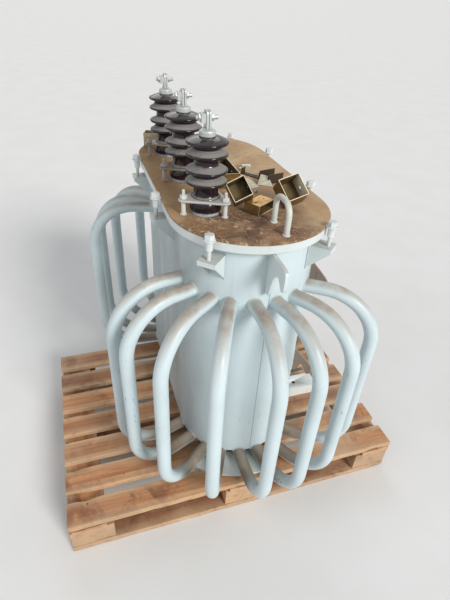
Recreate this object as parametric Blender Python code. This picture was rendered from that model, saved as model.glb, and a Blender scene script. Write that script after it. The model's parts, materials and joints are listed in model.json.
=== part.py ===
"""Oil-filled power transformer with an oval tank, standing on a wooden pallet.

The tank is a steel shell with rounded ends. Bent cooling tubes leave it below the
cover and come back near the floor. Three high-voltage bushings stand in a row on
the cover. Lengths are in metres, +Z is up and the pallet stands on z = 0.
"""
import bpy
import bmesh
import math
from mathutils import Matrix, Vector

# Clearances that tie the pieces together
GAP = 0.0003            # between two pieces that rest on each other
BOLT_CLEAR = 0.0008     # round a stud in its hole
JOIN = 0.0005           # how far welded or nailed pieces run into each other
OVERCUT = 0.010         # how far a cutting tool sticks out of what it cuts

# Pallet
PALLET_LONG = 1.200
PALLET_DEEP = 0.820
PALLET_HIGH = 0.144
PALLET_Y = -0.130       # toward the near end of the tank
BOARD_THICK = 0.022
BOARD_STAGGER = 0.0004  # every other deck board is this much longer at each end
DECK_BOARDS = 7
DECK_BOARD_WIDE = 0.090
CROSS_BOARD_WIDE = 0.120
BLOCK_LONG = 0.140
BLOCK_DEEP = 0.095
BLOCK_IN = 0.001        # blocks stop this far inside the pallet's ends
BASE_BOARD_WIDE = 0.100

# Tank
AXIS_X = 0.042          # the tank stands this far right of the pallet's middle
TANK_R = 0.2043
TANK_A = 0.2405         # half of the straight length
TANK_HIGH = 0.9043      # from the pallet's deck to the upper face of the cover
TANK_WALL = 0.004
FLOOR_THICK = 0.006
TOP_Z = PALLET_HIGH + TANK_HIGH
COVER_THICK = 0.006
COVER_OVER = 0.0305     # how far the cover reaches beyond the wall
COVER_R = TANK_R + COVER_OVER
COVER_LOW = TOP_Z - COVER_THICK
RIM_HIGH = 0.025
RIM_IN = 0.001          # the rim stops this far inside the cover's edge
END_SEGMENTS = 24

# Base rails, channels laid flat with the web up
RAIL_HIGH = 0.045
RAIL_WIDE = 0.072
RAIL_WEB = 0.006
RAIL_Y = TANK_A - 0.0575
RAIL_IN = 0.0143        # left end, inside the outside of the wall
RAIL_OUT = 0.188        # right end, beyond the wall
RAIL_HOLE = 0.018
RAIL_HOLE_IN = 0.092    # hole centre in from the right end

# Curved plate that lies on the deck under the near end
FOOT_THICK = 0.010
FOOT_IN = 0.020
FOOT_OUT = 0.076
FOOT_ANGLES = (-50.0, 15.0)
FOOT_STEPS = 10

# Cooling tubes, as the line along the middle of each; heights are over the deck
TUBE_R = 0.0212
TUBE_SIDES = 10
TUBE_STEPS = 6
TUBE_REACH = 0.2249     # from the wall to the upright part
TUBE_TOP = 0.6975
TUBE_TOP_CORNER = 0.7063
TUBE_TOP_BEND = 0.1582
TUBE_LOW = 0.0387
TUBE_LOW_CORNER = 0.0228
TUBE_LOW_BEND = 0.1463
TUBE_START = 0.020      # drawn this far into the wall, then cut to fit it
# Where each tube leaves the wall, and how far it then turns away from square to it
NEAR_TUBES = ((-86.5, 10.9), (-65.5, -4.1), (-45.5, -6.8), (-30.1, 5.0),
              (-10.9, 10.2), (7.0, 6.0), (25.4, 4.3), (45.8, 6.8))
FAR_TUBES = ((-81.6, 0.0), (-66.3, 0.0), (-48.0, 0.0)) + NEAR_TUBES[3:]

# Cover clamps
CLAMP_OUT = 0.0457      # bolt axis from the wall
CLAMP_END_ANGLES = (-43.0, 43.0)
CLAMP_SIDE_Y = (-0.140, 0.205)
HEAD_AF = 0.024
HEAD_HIGH = 0.014
WASHER_R = 0.0165
WASHER_THICK = 0.003
SLEEVE_R = 0.0095
SLEEVE_LONG = 0.028
STUD_R = 0.0055
STUD_LONG = 0.048
CLAMP_NUT_AF = 0.017
CLAMP_NUT_HIGH = 0.009
BRACKET_DROP = 0.050    # from the underside of the cover
BRACKET_WIDE = 0.052
BRACKET_DEEP = 0.062
BRACKET_PLATE = 0.005
BRACKET_HIGH = 0.074
BRACKET_LIP = 0.014
BRACKET_TIP = 0.016     # height of a gusset at its outer end
WALL_BITE = 0.003       # how far brackets and plates run into the wall

# Notched lifting plates: distance out from the wall, and drop from the top of the plate
LUG_THICK = 0.009
LUG_CLEAR = 0.0015      # under the rim
END_LUG_ANGLE = -3.0
END_LUG = ((0.104, 0.0), (0.117, 0.006), (0.115, 0.058), (0.099, 0.066), (0.084, 0.046),
           (0.070, 0.038), (0.052, 0.050), (0.040, 0.080), (0.026, 0.127), (0.016, 0.130))
SIDE_LUG_ANGLE = 62.0
SIDE_LUG = ((0.066, 0.074), (0.069, 0.108), (0.054, 0.116), (0.041, 0.084), (0.031, 0.068),
            (0.023, 0.080), (0.020, 0.097), (0.010, 0.100))
SIDE_LUG_TOPS = (0.757, 0.403)

# Lifting eye on the cover
EYE_X = 0.028           # right of the tank's middle
EYE_IN = 0.0738         # in from the near edge of the cover
EYE_SPAN = 0.081
EYE_R = 0.0078
EYE_HIGH = 0.082
EYE_BEND = 0.030

# Bushings
BUSHING_X = 0.1023 - COVER_R    # axis, from the tank's middle
BUSHING_PITCH = TANK_A + 0.0135
SEAL_R = 0.0435
SEAL_HIGH = 0.007
PORCELAIN_SIDES = 20
PORCELAIN_HIGH = 0.198
FOOT_R = 0.044          # glazed foot below the clamping plate
FOOT_EDGE = 0.004
COLLAR_R = 0.0398       # in the bore of the plate
NECK_R = 0.0335
ROOT_R = 0.038          # between the two sheds of a pair
CROWN_R = 0.026
SHED_R = 0.0568
SHED_ROUND = 0.0022     # the edge of a shed is this much smaller above and below
SHED_RISE = (0.008, 0.0128, 0.018, 0.026)   # under edge, rim, upper edge and root
SHED_Z = (0.070, 0.100, 0.139, 0.170)       # lower root of each shed
FLANGE_Z = 0.036
FLANGE_THICK = 0.009
FLANGE_HALF = 0.062
FLANGE_CORNER = 0.020
FLANGE_BORE = 0.0402
FLANGE_STUD_R = 0.005
FLANGE_STUD_AT = 0.049
FLANGE_STUD_OVER = 0.026
FLANGE_SLEEVE_R = 0.0072
FLANGE_FOOT_R = 0.0115
FLANGE_FOOT_HIGH = 0.003
FLANGE_NUT_AF = 0.019
FLANGE_NUT_HIGH = 0.011

# Terminal on top of a bushing
CAP_R = 0.0215
CAP_HIGH = 0.020
TAB_HALF = (0.006, 0.014)
TAB_HIGH = 0.046
EAR_HALF_WIDE = 0.011
EAR_OUT = 0.019
EAR_SPAN = (0.012, 0.034)
CROSS_Z = 0.024
CROSS_R = 0.0055
CROSS_SPAN = (-0.030, 0.026)
CROSS_NUT_AF = 0.017
CROSS_NUT_SPAN = (0.0065, 0.0185)

# Loose sheet boxes on the cover
BOX_SHEET = 0.002
BOX_HOLE = 0.008
# Length, depth and height; whether a lid closes it above; turns about Z, Y and X
BOXES = {
    "box_front": ((0.077, 0.048, 0.029), True, (35.7, 0.0, 0.0)),
    "box_right": ((0.066, 0.068, 0.054), False, (7.6, -12.6, 42.8)),
    "box_middle": ((0.056, 0.060, 0.045), False, (-0.6, -23.4, 48.9)),
    "box_back": ((0.067, 0.165, 0.045), False, (-1.5, 0.0, 0.0)),
    "box_far": ((0.058, 0.045, 0.050), False, (-20.0, 0.0, 0.0)),
}


def wipe():
    """Remove every object that is in the file."""
    for item in list(bpy.data.objects):
        bpy.data.objects.remove(item, do_unlink=True)


def paint(obj, name, colour, metallic, roughness):
    """Give the object a plain material of its own."""
    mat = bpy.data.materials.new(name)
    mat.use_nodes = True
    shader = mat.node_tree.nodes["Principled BSDF"]
    shader.inputs["Base Color"].default_value = (*colour, 1.0)
    shader.inputs["Metallic"].default_value = metallic
    shader.inputs["Roughness"].default_value = roughness
    obj.data.materials.clear()
    obj.data.materials.append(mat)


def add(name, bm, smooth=False):
    """Turn a bmesh into an object with outward faces."""
    bmesh.ops.recalc_face_normals(bm, faces=bm.faces)
    mesh = bpy.data.meshes.new(name)
    bm.to_mesh(mesh)
    bm.free()
    for poly in mesh.polygons:
        poly.use_smooth = smooth
    obj = bpy.data.objects.new(name, mesh)
    bpy.context.collection.objects.link(obj)
    return obj


def prism(name, outline, z0, z1, smooth=False):
    """Stand a closed outline up between two heights."""
    bm = bmesh.new()
    low = [bm.verts.new((x, y, z0)) for x, y in outline]
    high = [bm.verts.new((x, y, z1)) for x, y in outline]
    count = len(outline)
    bm.faces.new(list(reversed(low)))
    bm.faces.new(high)
    for i in range(count):
        j = (i + 1) % count
        bm.faces.new((low[i], low[j], high[j], high[i]))
    return add(name, bm, smooth)


def block(name, x0, x1, y0, y1, z0, z1):
    """Make a plain box from its limits."""
    return prism(name, [(x0, y0), (x1, y0), (x1, y1), (x0, y1)], z0, z1)


def circle(radius, sides, turn=0.0):
    """Outline of a round piece."""
    return [(radius * math.cos(turn + 2 * math.pi * i / sides),
             radius * math.sin(turn + 2 * math.pi * i / sides)) for i in range(sides)]


def hexagon(across):
    """Outline of a nut or bolt head from its width across the flats."""
    return circle(across / math.sqrt(3.0), 6)


def obround(radius, half, segments=END_SEGMENTS):
    """Outline of the tank's plan: two half circles and two straight sides."""
    points = []
    for sign, start in ((1, 0.0), (-1, math.pi)):
        for i in range(segments + 1):
            ang = start + math.pi * i / segments
            points.append((AXIS_X + radius * math.cos(ang), sign * half + radius * math.sin(ang)))
    return points


def turned(name, profile, sides, smooth=True):
    """Turn a profile of radius and height round the Z axis; both ends are on the axis."""
    bm = bmesh.new()
    rings = []
    for radius, z in profile:
        if radius < 1e-7:
            rings.append([bm.verts.new((0.0, 0.0, z))])
        else:
            rings.append([bm.verts.new((x, y, z)) for x, y in circle(radius, sides)])
    for a, b in zip(rings, rings[1:]):
        for i in range(sides):
            j = (i + 1) % sides
            corners = [a[i % len(a)], a[j % len(a)], b[j % len(b)], b[i % len(b)]]
            face = []
            for v in corners:
                if v not in face:
                    face.append(v)
            if len(face) > 2:
                bm.faces.new(face)
    return add(name, bm, smooth)


def swept(name, path, radius, sides, across):
    """Sweep a round section along a path that stays in one plane, whose normal is across."""
    bm = bmesh.new()
    rings = []
    for i, point in enumerate(path):
        before = (path[i] - path[i - 1]).normalized() if i else (path[1] - path[0]).normalized()
        after = (path[i + 1] - path[i]).normalized() if i < len(path) - 1 else before
        along = (before + after).normalized()
        stretch = 1.0 / max(0.5, along.dot(before))
        side = along.cross(across).normalized()
        ring = []
        for k in range(sides):
            ang = 2 * math.pi * k / sides
            ring.append(bm.verts.new(point + side * (radius * stretch * math.cos(ang))
                                     + across * (radius * math.sin(ang))))
        rings.append(ring)
    for a, b in zip(rings, rings[1:]):
        for k in range(sides):
            m = (k + 1) % sides
            bm.faces.new((a[k], a[m], b[m], b[k]))
    bm.faces.new(rings[0])
    bm.faces.new(list(reversed(rings[-1])))
    return add(name, bm, True)


def settle(obj):
    """Replace the object's mesh by its result after modifiers."""
    graph = bpy.context.evaluated_depsgraph_get()
    done = bpy.data.meshes.new_from_object(obj.evaluated_get(graph))
    obj.modifiers.clear()
    obj.data = done
    return obj


def combine(first, others, operation):
    """Apply one boolean after another and drop the tools."""
    for other in others:
        mod = first.modifiers.new("cut", "BOOLEAN")
        mod.operation = operation
        mod.solver = "EXACT"
        mod.object = other
        settle(first)
        bpy.data.objects.remove(other, do_unlink=True)
    return first


def fuse(first, *others):
    """Weld pieces into one solid."""
    return combine(first, others, "UNION")


def cut(first, *others):
    """Take the others out of the first."""
    return combine(first, others, "DIFFERENCE")


def place(obj, matrix):
    """Move the mesh itself, so that the object stays at the origin."""
    obj.data.transform(matrix)
    return obj


def end_point(angle, radius, far):
    """A point at an angle and radius on one rounded end; 0 degrees looks out along the axis."""
    ang = math.radians(angle)
    y = TANK_A + radius * math.cos(ang)
    return Vector((AXIS_X + radius * math.sin(ang), y if far else -y, 0.0))


def facing(point, outward):
    """Frame at a point with local X pointing outward from the tank."""
    out = Vector((outward.x, outward.y, 0.0)).normalized()
    side = Vector((-out.y, out.x, 0.0))
    frame = Matrix(((out.x, side.x, 0.0, point.x), (out.y, side.y, 0.0, point.y),
                    (0.0, 0.0, 1.0, point.z), (0.0, 0.0, 0.0, 1.0)))
    return frame


def rounded(corners, bends, steps):
    """Round the inner corners of a path of (r, z) points."""
    out = [Vector(corners[0])]
    for i in range(1, len(corners) - 1):
        here = Vector(corners[i])
        back = (Vector(corners[i - 1]) - here).normalized()
        on = (Vector(corners[i + 1]) - here).normalized()
        half = back.angle(on) / 2.0
        reach = bends[i - 1] / math.tan(half)
        middle = here + (back + on).normalized() * (bends[i - 1] / math.sin(half))
        start = here + back * reach
        stop = here + on * reach
        a0 = math.atan2(start.y - middle.y, start.x - middle.x)
        a1 = math.atan2(stop.y - middle.y, stop.x - middle.x)
        turn = (a1 - a0 + math.pi) % (2 * math.pi) - math.pi
        for k in range(steps + 1):
            ang = a0 + turn * k / steps
            out.append(Vector((middle.x + bends[i - 1] * math.cos(ang),
                               middle.y + bends[i - 1] * math.sin(ang))))
    out.append(Vector(corners[-1]))
    return out


def tank_offset(name, grow, z0, z1):
    """The tank's outside, grown a little, as a tool to cut seats with."""
    return prism(name, obround(TANK_R + grow, TANK_A), z0, z1)


def build_pallet():
    """Deck of seven boards on three cross boards, and three runners with blocks."""
    x0, x1 = -PALLET_LONG / 2, PALLET_LONG / 2
    y0 = PALLET_Y - PALLET_DEEP / 2
    pitch = (PALLET_DEEP - DECK_BOARD_WIDE) / (DECK_BOARDS - 1)
    z1 = PALLET_HIGH
    z0 = z1 - BOARD_THICK
    low = z0 - BOARD_THICK
    cross = []
    for k in (-1, 0, 1):
        mid = k * (PALLET_LONG - CROSS_BOARD_WIDE) / 2
        cross.append((mid - CROSS_BOARD_WIDE / 2, mid + CROSS_BOARD_WIDE / 2))
    deck = block("pallet_deck", cross[0][0], cross[0][1], y0, y0 + PALLET_DEEP, low, z0 + JOIN)
    parts = [block("t", a, b, y0 + JOIN, y0 + PALLET_DEEP - JOIN, low, z0 + JOIN)
             for a, b in cross[1:]]
    for i in range(DECK_BOARDS):
        a = y0 + i * pitch
        more = BOARD_STAGGER * (i % 2)
        parts.append(block("t", x0 - more, x1 + more, a, a + DECK_BOARD_WIDE, z0, z1))
    fuse(deck, *parts)
    paint(deck, "deck_wood", (0.55, 0.33, 0.18), 0.0, 0.8)
    top = low - GAP
    for n, name in enumerate(("near", "middle", "far")):
        mid = PALLET_Y + (n - 1) * (PALLET_DEEP - BASE_BOARD_WIDE) / 2
        runner = block("pallet_runner_" + name, x0, x1, mid - BASE_BOARD_WIDE / 2,
                       mid + BASE_BOARD_WIDE / 2, 0.0, BOARD_THICK)
        blocks = []
        for k in (-1, 0, 1):
            bx = k * ((PALLET_LONG - BLOCK_LONG) / 2 - BLOCK_IN)
            blocks.append(block("t", bx - BLOCK_LONG / 2, bx + BLOCK_LONG / 2, mid - BLOCK_DEEP / 2,
                                mid + BLOCK_DEEP / 2, BOARD_THICK - JOIN, top))
        fuse(runner, *blocks)
        paint(runner, "runner_wood_" + name, (0.52, 0.31, 0.17), 0.0, 0.8)


def build_rails():
    """Two cross rails, channels laid flat with a hole near the right end."""
    z0 = PALLET_HIGH + GAP
    z1 = PALLET_HIGH + RAIL_HIGH
    h = RAIL_WIDE / 2
    x0 = AXIS_X - TANK_R + RAIL_IN
    x1 = AXIS_X + TANK_R + RAIL_OUT
    for name, side in (("near", -1), ("far", 1)):
        y = side * RAIL_Y
        rail = block("rail_" + name, x0, x1, y - h, y + h, z0, z1)
        hollow = block("t", x0 - OVERCUT, x1 + OVERCUT, y - h + RAIL_WEB, y + h - RAIL_WEB,
                       z0 - OVERCUT, z1 - RAIL_WEB)
        hole = prism("t", circle(RAIL_HOLE / 2, 12), z1 - 2 * OVERCUT, z1 + OVERCUT)
        cut(rail, hollow, place(hole, Matrix.Translation((x1 - RAIL_HOLE_IN, y, 0.0))))
        paint(rail, "rail_paint_" + name, (0.60, 0.63, 0.62), 0.0, 0.55)


def build_foot():
    """Curved plate on the deck that follows the near end of the tank."""
    outline = []
    for radius, order in ((TANK_R + FOOT_OUT, 1), (TANK_R - FOOT_IN, -1)):
        arc = []
        for i in range(FOOT_STEPS + 1):
            share = i / FOOT_STEPS
            angle = FOOT_ANGLES[0] + (FOOT_ANGLES[1] - FOOT_ANGLES[0]) * share
            arc.append(end_point(angle, radius, False))
        outline.extend((p.x, p.y) for p in arc[::order])
    foot = prism("end_foot", outline, PALLET_HIGH + GAP, PALLET_HIGH + FOOT_THICK)
    paint(foot, "foot_paint", (0.60, 0.63, 0.62), 0.0, 0.55)


def upright(outline, thick, middle=0.0):
    """A plate standing in the local XZ plane, from its outline of (x, z) points."""
    bm = bmesh.new()
    rings = [[bm.verts.new((x, middle + side * thick / 2, z)) for x, z in outline] for side in (-1, 1)]
    bm.faces.new(rings[0])
    bm.faces.new(list(reversed(rings[1])))
    for i in range(len(outline)):
        j = (i + 1) % len(outline)
        bm.faces.new((rings[0][i], rings[1][i], rings[1][j], rings[0][j]))
    return add("t", bm)


def bracket_piece(point, outward):
    """Clamp bracket: a flat plate with a turned-down lip and two gussets, run into the wall."""
    top = COVER_LOW - BRACKET_DROP
    half = BRACKET_WIDE / 2
    plate = block("t", -WALL_BITE, BRACKET_DEEP, -half, half, top - BRACKET_PLATE, top)
    lip = block("t", BRACKET_DEEP - BRACKET_PLATE, BRACKET_DEEP - JOIN, -half + JOIN, half - JOIN,
                top - BRACKET_LIP, top - JOIN)
    outer = BRACKET_DEEP - BRACKET_PLATE + JOIN
    under = top - 2 * JOIN
    outline = [(-WALL_BITE, under), (outer, under), (outer, top - BRACKET_TIP),
               (-WALL_BITE, top - BRACKET_HIGH)]
    gussets = [upright(outline, BRACKET_PLATE, side * (half - JOIN - BRACKET_PLATE / 2)) for side in (-1, 1)]
    fuse(plate, lip, *gussets)
    hole = prism("t", circle(STUD_R + BOLT_CLEAR, 12), top - 2 * OVERCUT, top + OVERCUT)
    cut(plate, place(hole, Matrix.Translation((CLAMP_OUT, 0.0, 0.0))))
    return place(plate, facing(point, outward))


def lug_piece(shape, top, angle, far):
    """Lifting plate that stands out from the wall, notched below for a hook."""
    outline = [(-WALL_BITE, top)] + [(out, top - drop) for out, drop in shape]
    outline.append((-WALL_BITE, top - shape[-1][1]))
    foot = end_point(angle, TANK_R, far)
    return place(upright(outline, LUG_THICK), facing(foot, foot - end_point(angle, 0.0, far)))


def clamp_places():
    """Foot points on the wall and outward directions of the eight cover clamps."""
    out = []
    for far in (False, True):
        for k, angle in enumerate(CLAMP_END_ANGLES):
            foot = end_point(angle, TANK_R, far)
            name = ("far" if far else "near") + ("_left" if k == 0 else "_right")
            out.append((name, foot, (foot - end_point(angle, 0.0, far)).normalized()))
    for side, word in ((-1, "left"), (1, "right")):
        for k, y in enumerate(CLAMP_SIDE_Y):
            name = "side_" + word + ("_near" if k == 0 else "_far")
            out.append((name, Vector((AXIS_X + side * TANK_R, y, 0.0)), Vector((side, 0.0, 0.0))))
    return out


def build_tank():
    """Wall with its brackets and lifting plates, floor, rim and cover."""
    floor_z = PALLET_HIGH + RAIL_HIGH + GAP
    wall_z = floor_z + FLOOR_THICK + GAP
    wall_top = COVER_LOW - GAP
    outer = prism("tank_wall", obround(TANK_R, TANK_A), wall_z, wall_top)
    pieces = [bracket_piece(foot, out) for _, foot, out in clamp_places()]
    for far in (False, True):
        pieces.append(lug_piece(END_LUG, wall_top - RIM_HIGH - LUG_CLEAR, END_LUG_ANGLE, far))
        for top in SIDE_LUG_TOPS:
            pieces.append(lug_piece(SIDE_LUG, PALLET_HIGH + top, SIDE_LUG_ANGLE, far))
    fuse(outer, *pieces)
    inner = prism("t", obround(TANK_R - TANK_WALL, TANK_A), wall_z - OVERCUT, wall_top + OVERCUT)
    cut(outer, inner)
    paint(outer, "wall_paint", (0.58, 0.63, 0.65), 0.0, 0.5)
    base = prism("tank_floor", obround(TANK_R, TANK_A), floor_z, floor_z + FLOOR_THICK)
    paint(base, "floor_paint", (0.50, 0.55, 0.57), 0.0, 0.55)
    rim = prism("tank_rim", obround(COVER_R - RIM_IN, TANK_A), wall_top - RIM_HIGH, wall_top)
    cut(rim, tank_offset("t", GAP, wall_top - RIM_HIGH - OVERCUT, wall_top + OVERCUT))
    paint(rim, "rim_paint", (0.66, 0.70, 0.70), 0.0, 0.5)
    cover = prism("cover", obround(COVER_R, TANK_A), COVER_LOW, TOP_Z)
    paint(cover, "cover_paint", (0.45, 0.34, 0.22), 0.0, 0.75)


def build_clamps():
    """A bolt for each clamp: head and washer on the cover, sleeve, stud and nut at the bracket."""
    base = TOP_Z + GAP
    low = base - SLEEVE_LONG
    nut_top = COVER_LOW - BRACKET_DROP - BRACKET_PLATE - GAP
    for name, foot, out in clamp_places():
        bolt = prism("clamp_" + name, hexagon(HEAD_AF), base + WASHER_THICK - JOIN,
                     base + WASHER_THICK + HEAD_HIGH)
        washer = prism("t", circle(WASHER_R, 12), base, base + WASHER_THICK)
        sleeve = prism("t", circle(SLEEVE_R, 10), low, base + JOIN)
        stud = prism("t", circle(STUD_R, 8), low - STUD_LONG, low + JOIN)
        nut = prism("t", hexagon(CLAMP_NUT_AF), nut_top - CLAMP_NUT_HIGH, nut_top)
        fuse(bolt, washer, sleeve, stud, nut)
        place(bolt, facing(foot + out * CLAMP_OUT, out))
        paint(bolt, "clamp_steel_" + name, (0.55, 0.58, 0.58), 0.6, 0.5)


def build_eye():
    """Bent rod welded on the cover as a lifting eye."""
    z0 = TOP_Z + GAP
    half = EYE_SPAN / 2
    middle = -(TANK_A + COVER_R) + EYE_IN
    path = rounded([(-half, z0), (-half, z0 + EYE_HIGH), (half, z0 + EYE_HIGH), (half, z0)],
                   (EYE_BEND, EYE_BEND), 4)
    points = [Vector((AXIS_X + EYE_X, middle + p.x, p.y)) for p in path]
    eye = swept("lifting_eye", points, EYE_R, 8, Vector((1.0, 0.0, 0.0)))
    paint(eye, "eye_paint", (0.58, 0.60, 0.58), 0.1, 0.55)


def build_tubes():
    """Bent tubes of both rounded ends; their ends are cut to sit against the wall."""
    slope = (TUBE_TOP_CORNER - TUBE_TOP) / TUBE_REACH
    low_slope = (TUBE_LOW_CORNER - TUBE_LOW) / TUBE_REACH
    corners = [(-TUBE_START, TUBE_TOP - TUBE_START * slope), (TUBE_REACH, TUBE_TOP_CORNER),
               (TUBE_REACH, TUBE_LOW_CORNER), (-TUBE_START, TUBE_LOW - TUBE_START * low_slope)]
    line = rounded(corners, (TUBE_TOP_BEND, TUBE_LOW_BEND), TUBE_STEPS)
    for far, fan in ((False, NEAR_TUBES), (True, FAR_TUBES)):
        for k, (angle, turn) in enumerate(fan):
            start = end_point(angle, TANK_R, far)
            out = end_point(angle + turn, 1.0, far) - end_point(angle + turn, 0.0, far)
            across = Vector((0.0, 0.0, 1.0)).cross(out).normalized()
            path = [start + out * p.x + Vector((0.0, 0.0, PALLET_HIGH + p.y)) for p in line]
            name = "tube_%s_%d" % ("far" if far else "near", k + 1)
            tube = swept(name, path, TUBE_R, TUBE_SIDES, across)
            cut(tube, tank_offset("t", GAP, PALLET_HIGH, TOP_Z))
            for poly in tube.data.polygons:
                poly.use_smooth = len(poly.vertices) == 4
            paint(tube, name + "_paint", (0.62, 0.67, 0.68), 0.0, 0.45)


def porcelain_profile():
    """Radius and height of the glazed insulator: foot, collar, and four sheds in two pairs."""
    z = SEAL_HIGH + GAP
    plate_top = FLANGE_Z + FLANGE_THICK
    line = [(0.0, z), (FOOT_R - FOOT_EDGE, z), (FOOT_R, z + FOOT_EDGE), (FOOT_R, FLANGE_Z - 2 * FOOT_EDGE),
            (COLLAR_R, FLANGE_Z - FOOT_EDGE), (COLLAR_R, plate_top + FOOT_EDGE / 2),
            (NECK_R, plate_top + 2 * FOOT_EDGE)]
    for k, low in enumerate(SHED_Z):
        under, edge, over, root = (low + rise for rise in SHED_RISE)
        line.append((ROOT_R if k % 2 else NECK_R, low))
        line.extend([(SHED_R - SHED_ROUND / 2, under), (SHED_R, edge), (SHED_R - SHED_ROUND, over)])
        if k < len(SHED_Z) - 1:
            line.append((NECK_R if k % 2 else ROOT_R, root))
    return line + [(CROWN_R, PORCELAIN_HIGH), (0.0, PORCELAIN_HIGH)]


def flange_bolt(plate, x, y):
    """Stud of the clamping plate: foot and sleeve below, nut above."""
    top = FLANGE_Z + FLANGE_THICK
    spot = Matrix.Translation((x, y, 0.0))
    fuse(plate, *[place(piece, spot) for piece in (
        prism("t", circle(FLANGE_STUD_R, 8), FLANGE_Z, top + FLANGE_STUD_OVER),
        prism("t", hexagon(FLANGE_NUT_AF), top - JOIN, top + FLANGE_NUT_HIGH),
        prism("t", circle(FLANGE_SLEEVE_R, 8), FLANGE_FOOT_HIGH - JOIN, FLANGE_Z + JOIN),
        prism("t", circle(FLANGE_FOOT_R, 8), 0.0, FLANGE_FOOT_HIGH))])


def build_bushing(name, y):
    """One bushing: seal, porcelain, clamping plate with studs, and the terminal on top."""
    at = Matrix.Translation((AXIS_X + BUSHING_X, y, TOP_Z + GAP))
    seal = prism("seal_" + name, circle(SEAL_R, PORCELAIN_SIDES), 0.0, SEAL_HIGH, True)
    place(seal, at)
    paint(seal, "seal_rubber_" + name, (0.30, 0.28, 0.25), 0.0, 0.8)
    body = turned("porcelain_" + name, porcelain_profile(), PORCELAIN_SIDES)
    place(body, at)
    paint(body, "porcelain_glaze_" + name, (0.045, 0.020, 0.028), 0.0, 0.12)
    h = FLANGE_HALF
    c = FLANGE_CORNER
    outline = [(-h + c, -h), (h - c, -h), (h, -h + c), (h, h - c), (h - c, h), (-h + c, h),
               (-h, h - c), (-h, -h + c)]
    flange = prism("flange_" + name, outline, FLANGE_Z, FLANGE_Z + FLANGE_THICK)
    for sx in (-1, 1):
        for sy in (-1, 1):
            flange_bolt(flange, sx * FLANGE_STUD_AT, sy * FLANGE_STUD_AT)
    cut(flange, prism("t", circle(FLANGE_BORE, PORCELAIN_SIDES), FLANGE_Z - OVERCUT,
                      FLANGE_Z + FLANGE_THICK + OVERCUT))
    place(flange, at)
    paint(flange, "flange_steel_" + name, (0.52, 0.50, 0.44), 0.5, 0.6)
    z = PORCELAIN_HIGH + GAP
    tab = z + CAP_HIGH
    cap = prism("terminal_" + name, circle(CAP_R, 16), z, tab)
    plate = block("t", -TAB_HALF[0], TAB_HALF[0], -TAB_HALF[1], TAB_HALF[1], tab - JOIN, tab + TAB_HIGH)
    ear = block("t", -EAR_OUT, 0.0, -EAR_HALF_WIDE, EAR_HALF_WIDE, tab + EAR_SPAN[0], tab + EAR_SPAN[1])
    level = Matrix.Translation((0.0, 0.0, tab + CROSS_Z)) @ Matrix.Rotation(math.radians(90.0), 4, "Y")
    bolt = place(prism("t", circle(CROSS_R, 8), *CROSS_SPAN), level)
    nut = place(prism("t", hexagon(CROSS_NUT_AF), *CROSS_NUT_SPAN), level)
    fuse(cap, plate, ear, bolt, nut)
    place(cap, at)
    paint(cap, "terminal_metal_" + name, (0.72, 0.73, 0.72), 0.8, 0.4)


def sheet_box(name, size, lidded):
    """Box of thin sheet with a hole; it is open above, or lidded and open at one side."""
    long, deep, high = size
    t = BOX_SHEET
    shell = block(name, -long / 2, long / 2, -deep / 2, deep / 2, 0.0, high)
    hole = prism("t", circle(BOX_HOLE / 2, 10), -OVERCUT / 2, OVERCUT / 2)
    if lidded:
        hollow = block("t", -long / 2 + t, long / 2 - t, -deep / 2 - OVERCUT, deep / 2 - t, t, high - t)
        spot = Matrix.Translation((-long / 4, 0.0, high))
    else:
        hollow = block("t", -long / 2 + t, long / 2 - t, -deep / 2 + t, deep / 2 - t, t, high + OVERCUT)
        spot = Matrix.Translation((long / 2, 0.0, high / 2)) @ Matrix.Rotation(math.radians(90.0), 4, "Y")
    return cut(shell, hollow, place(hole, spot))


def build_loose():
    """Five sheet boxes that lie jumbled on the cover; two of them lean on an edge."""
    row = BUSHING_X + FLANGE_HALF
    near = -(TANK_A + COVER_R)
    spots = {"box_front": (row + 0.0865, near + 0.195), "box_right": (row + 0.1805, near + 0.214),
             "box_middle": (row + 0.0440, near + 0.249), "box_back": (row + 0.0585, near + 0.450),
             "box_far": (BUSHING_X - 0.0335, BUSHING_PITCH + FLANGE_HALF + 0.0423)}
    for name, (size, lidded, turns) in BOXES.items():
        spot = spots[name]
        box = sheet_box(name, size, lidded)
        for angle, axis in zip(reversed(turns), "XYZ"):
            place(box, Matrix.Rotation(math.radians(angle), 4, axis))
        lowest = min(v.co.z for v in box.data.vertices)
        place(box, Matrix.Translation((AXIS_X + spot[0], spot[1], TOP_Z + GAP - lowest)))
        paint(box, name + "_sheet", (0.62, 0.46, 0.14), 0.7, 0.4)


def main():
    """Build every piece."""
    wipe()
    build_pallet()
    build_rails()
    build_foot()
    build_tank()
    build_clamps()
    build_eye()
    build_tubes()
    for k, name in enumerate(("near", "middle", "far")):
        build_bushing(name, (k - 1) * BUSHING_PITCH)
    build_loose()


main()
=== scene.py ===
"""The looks of an oil-filled power transformer with an oval tank, on its wooden pallet.

Each finish is a frozen dataclass whose make method gives a material. Each sub-assembly is a
class: its sizes are dataclass fields, its methods build its meshes, and dress gives them their
finish. Lengths are in metres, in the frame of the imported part.
"""

import json
import logging
import math
import random
from abc import ABC, abstractmethod
from dataclasses import dataclass, field
from enum import Enum
from typing import Iterable, Sequence

import bmesh
import bpy
from mathutils import Matrix, Vector, noise

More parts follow.
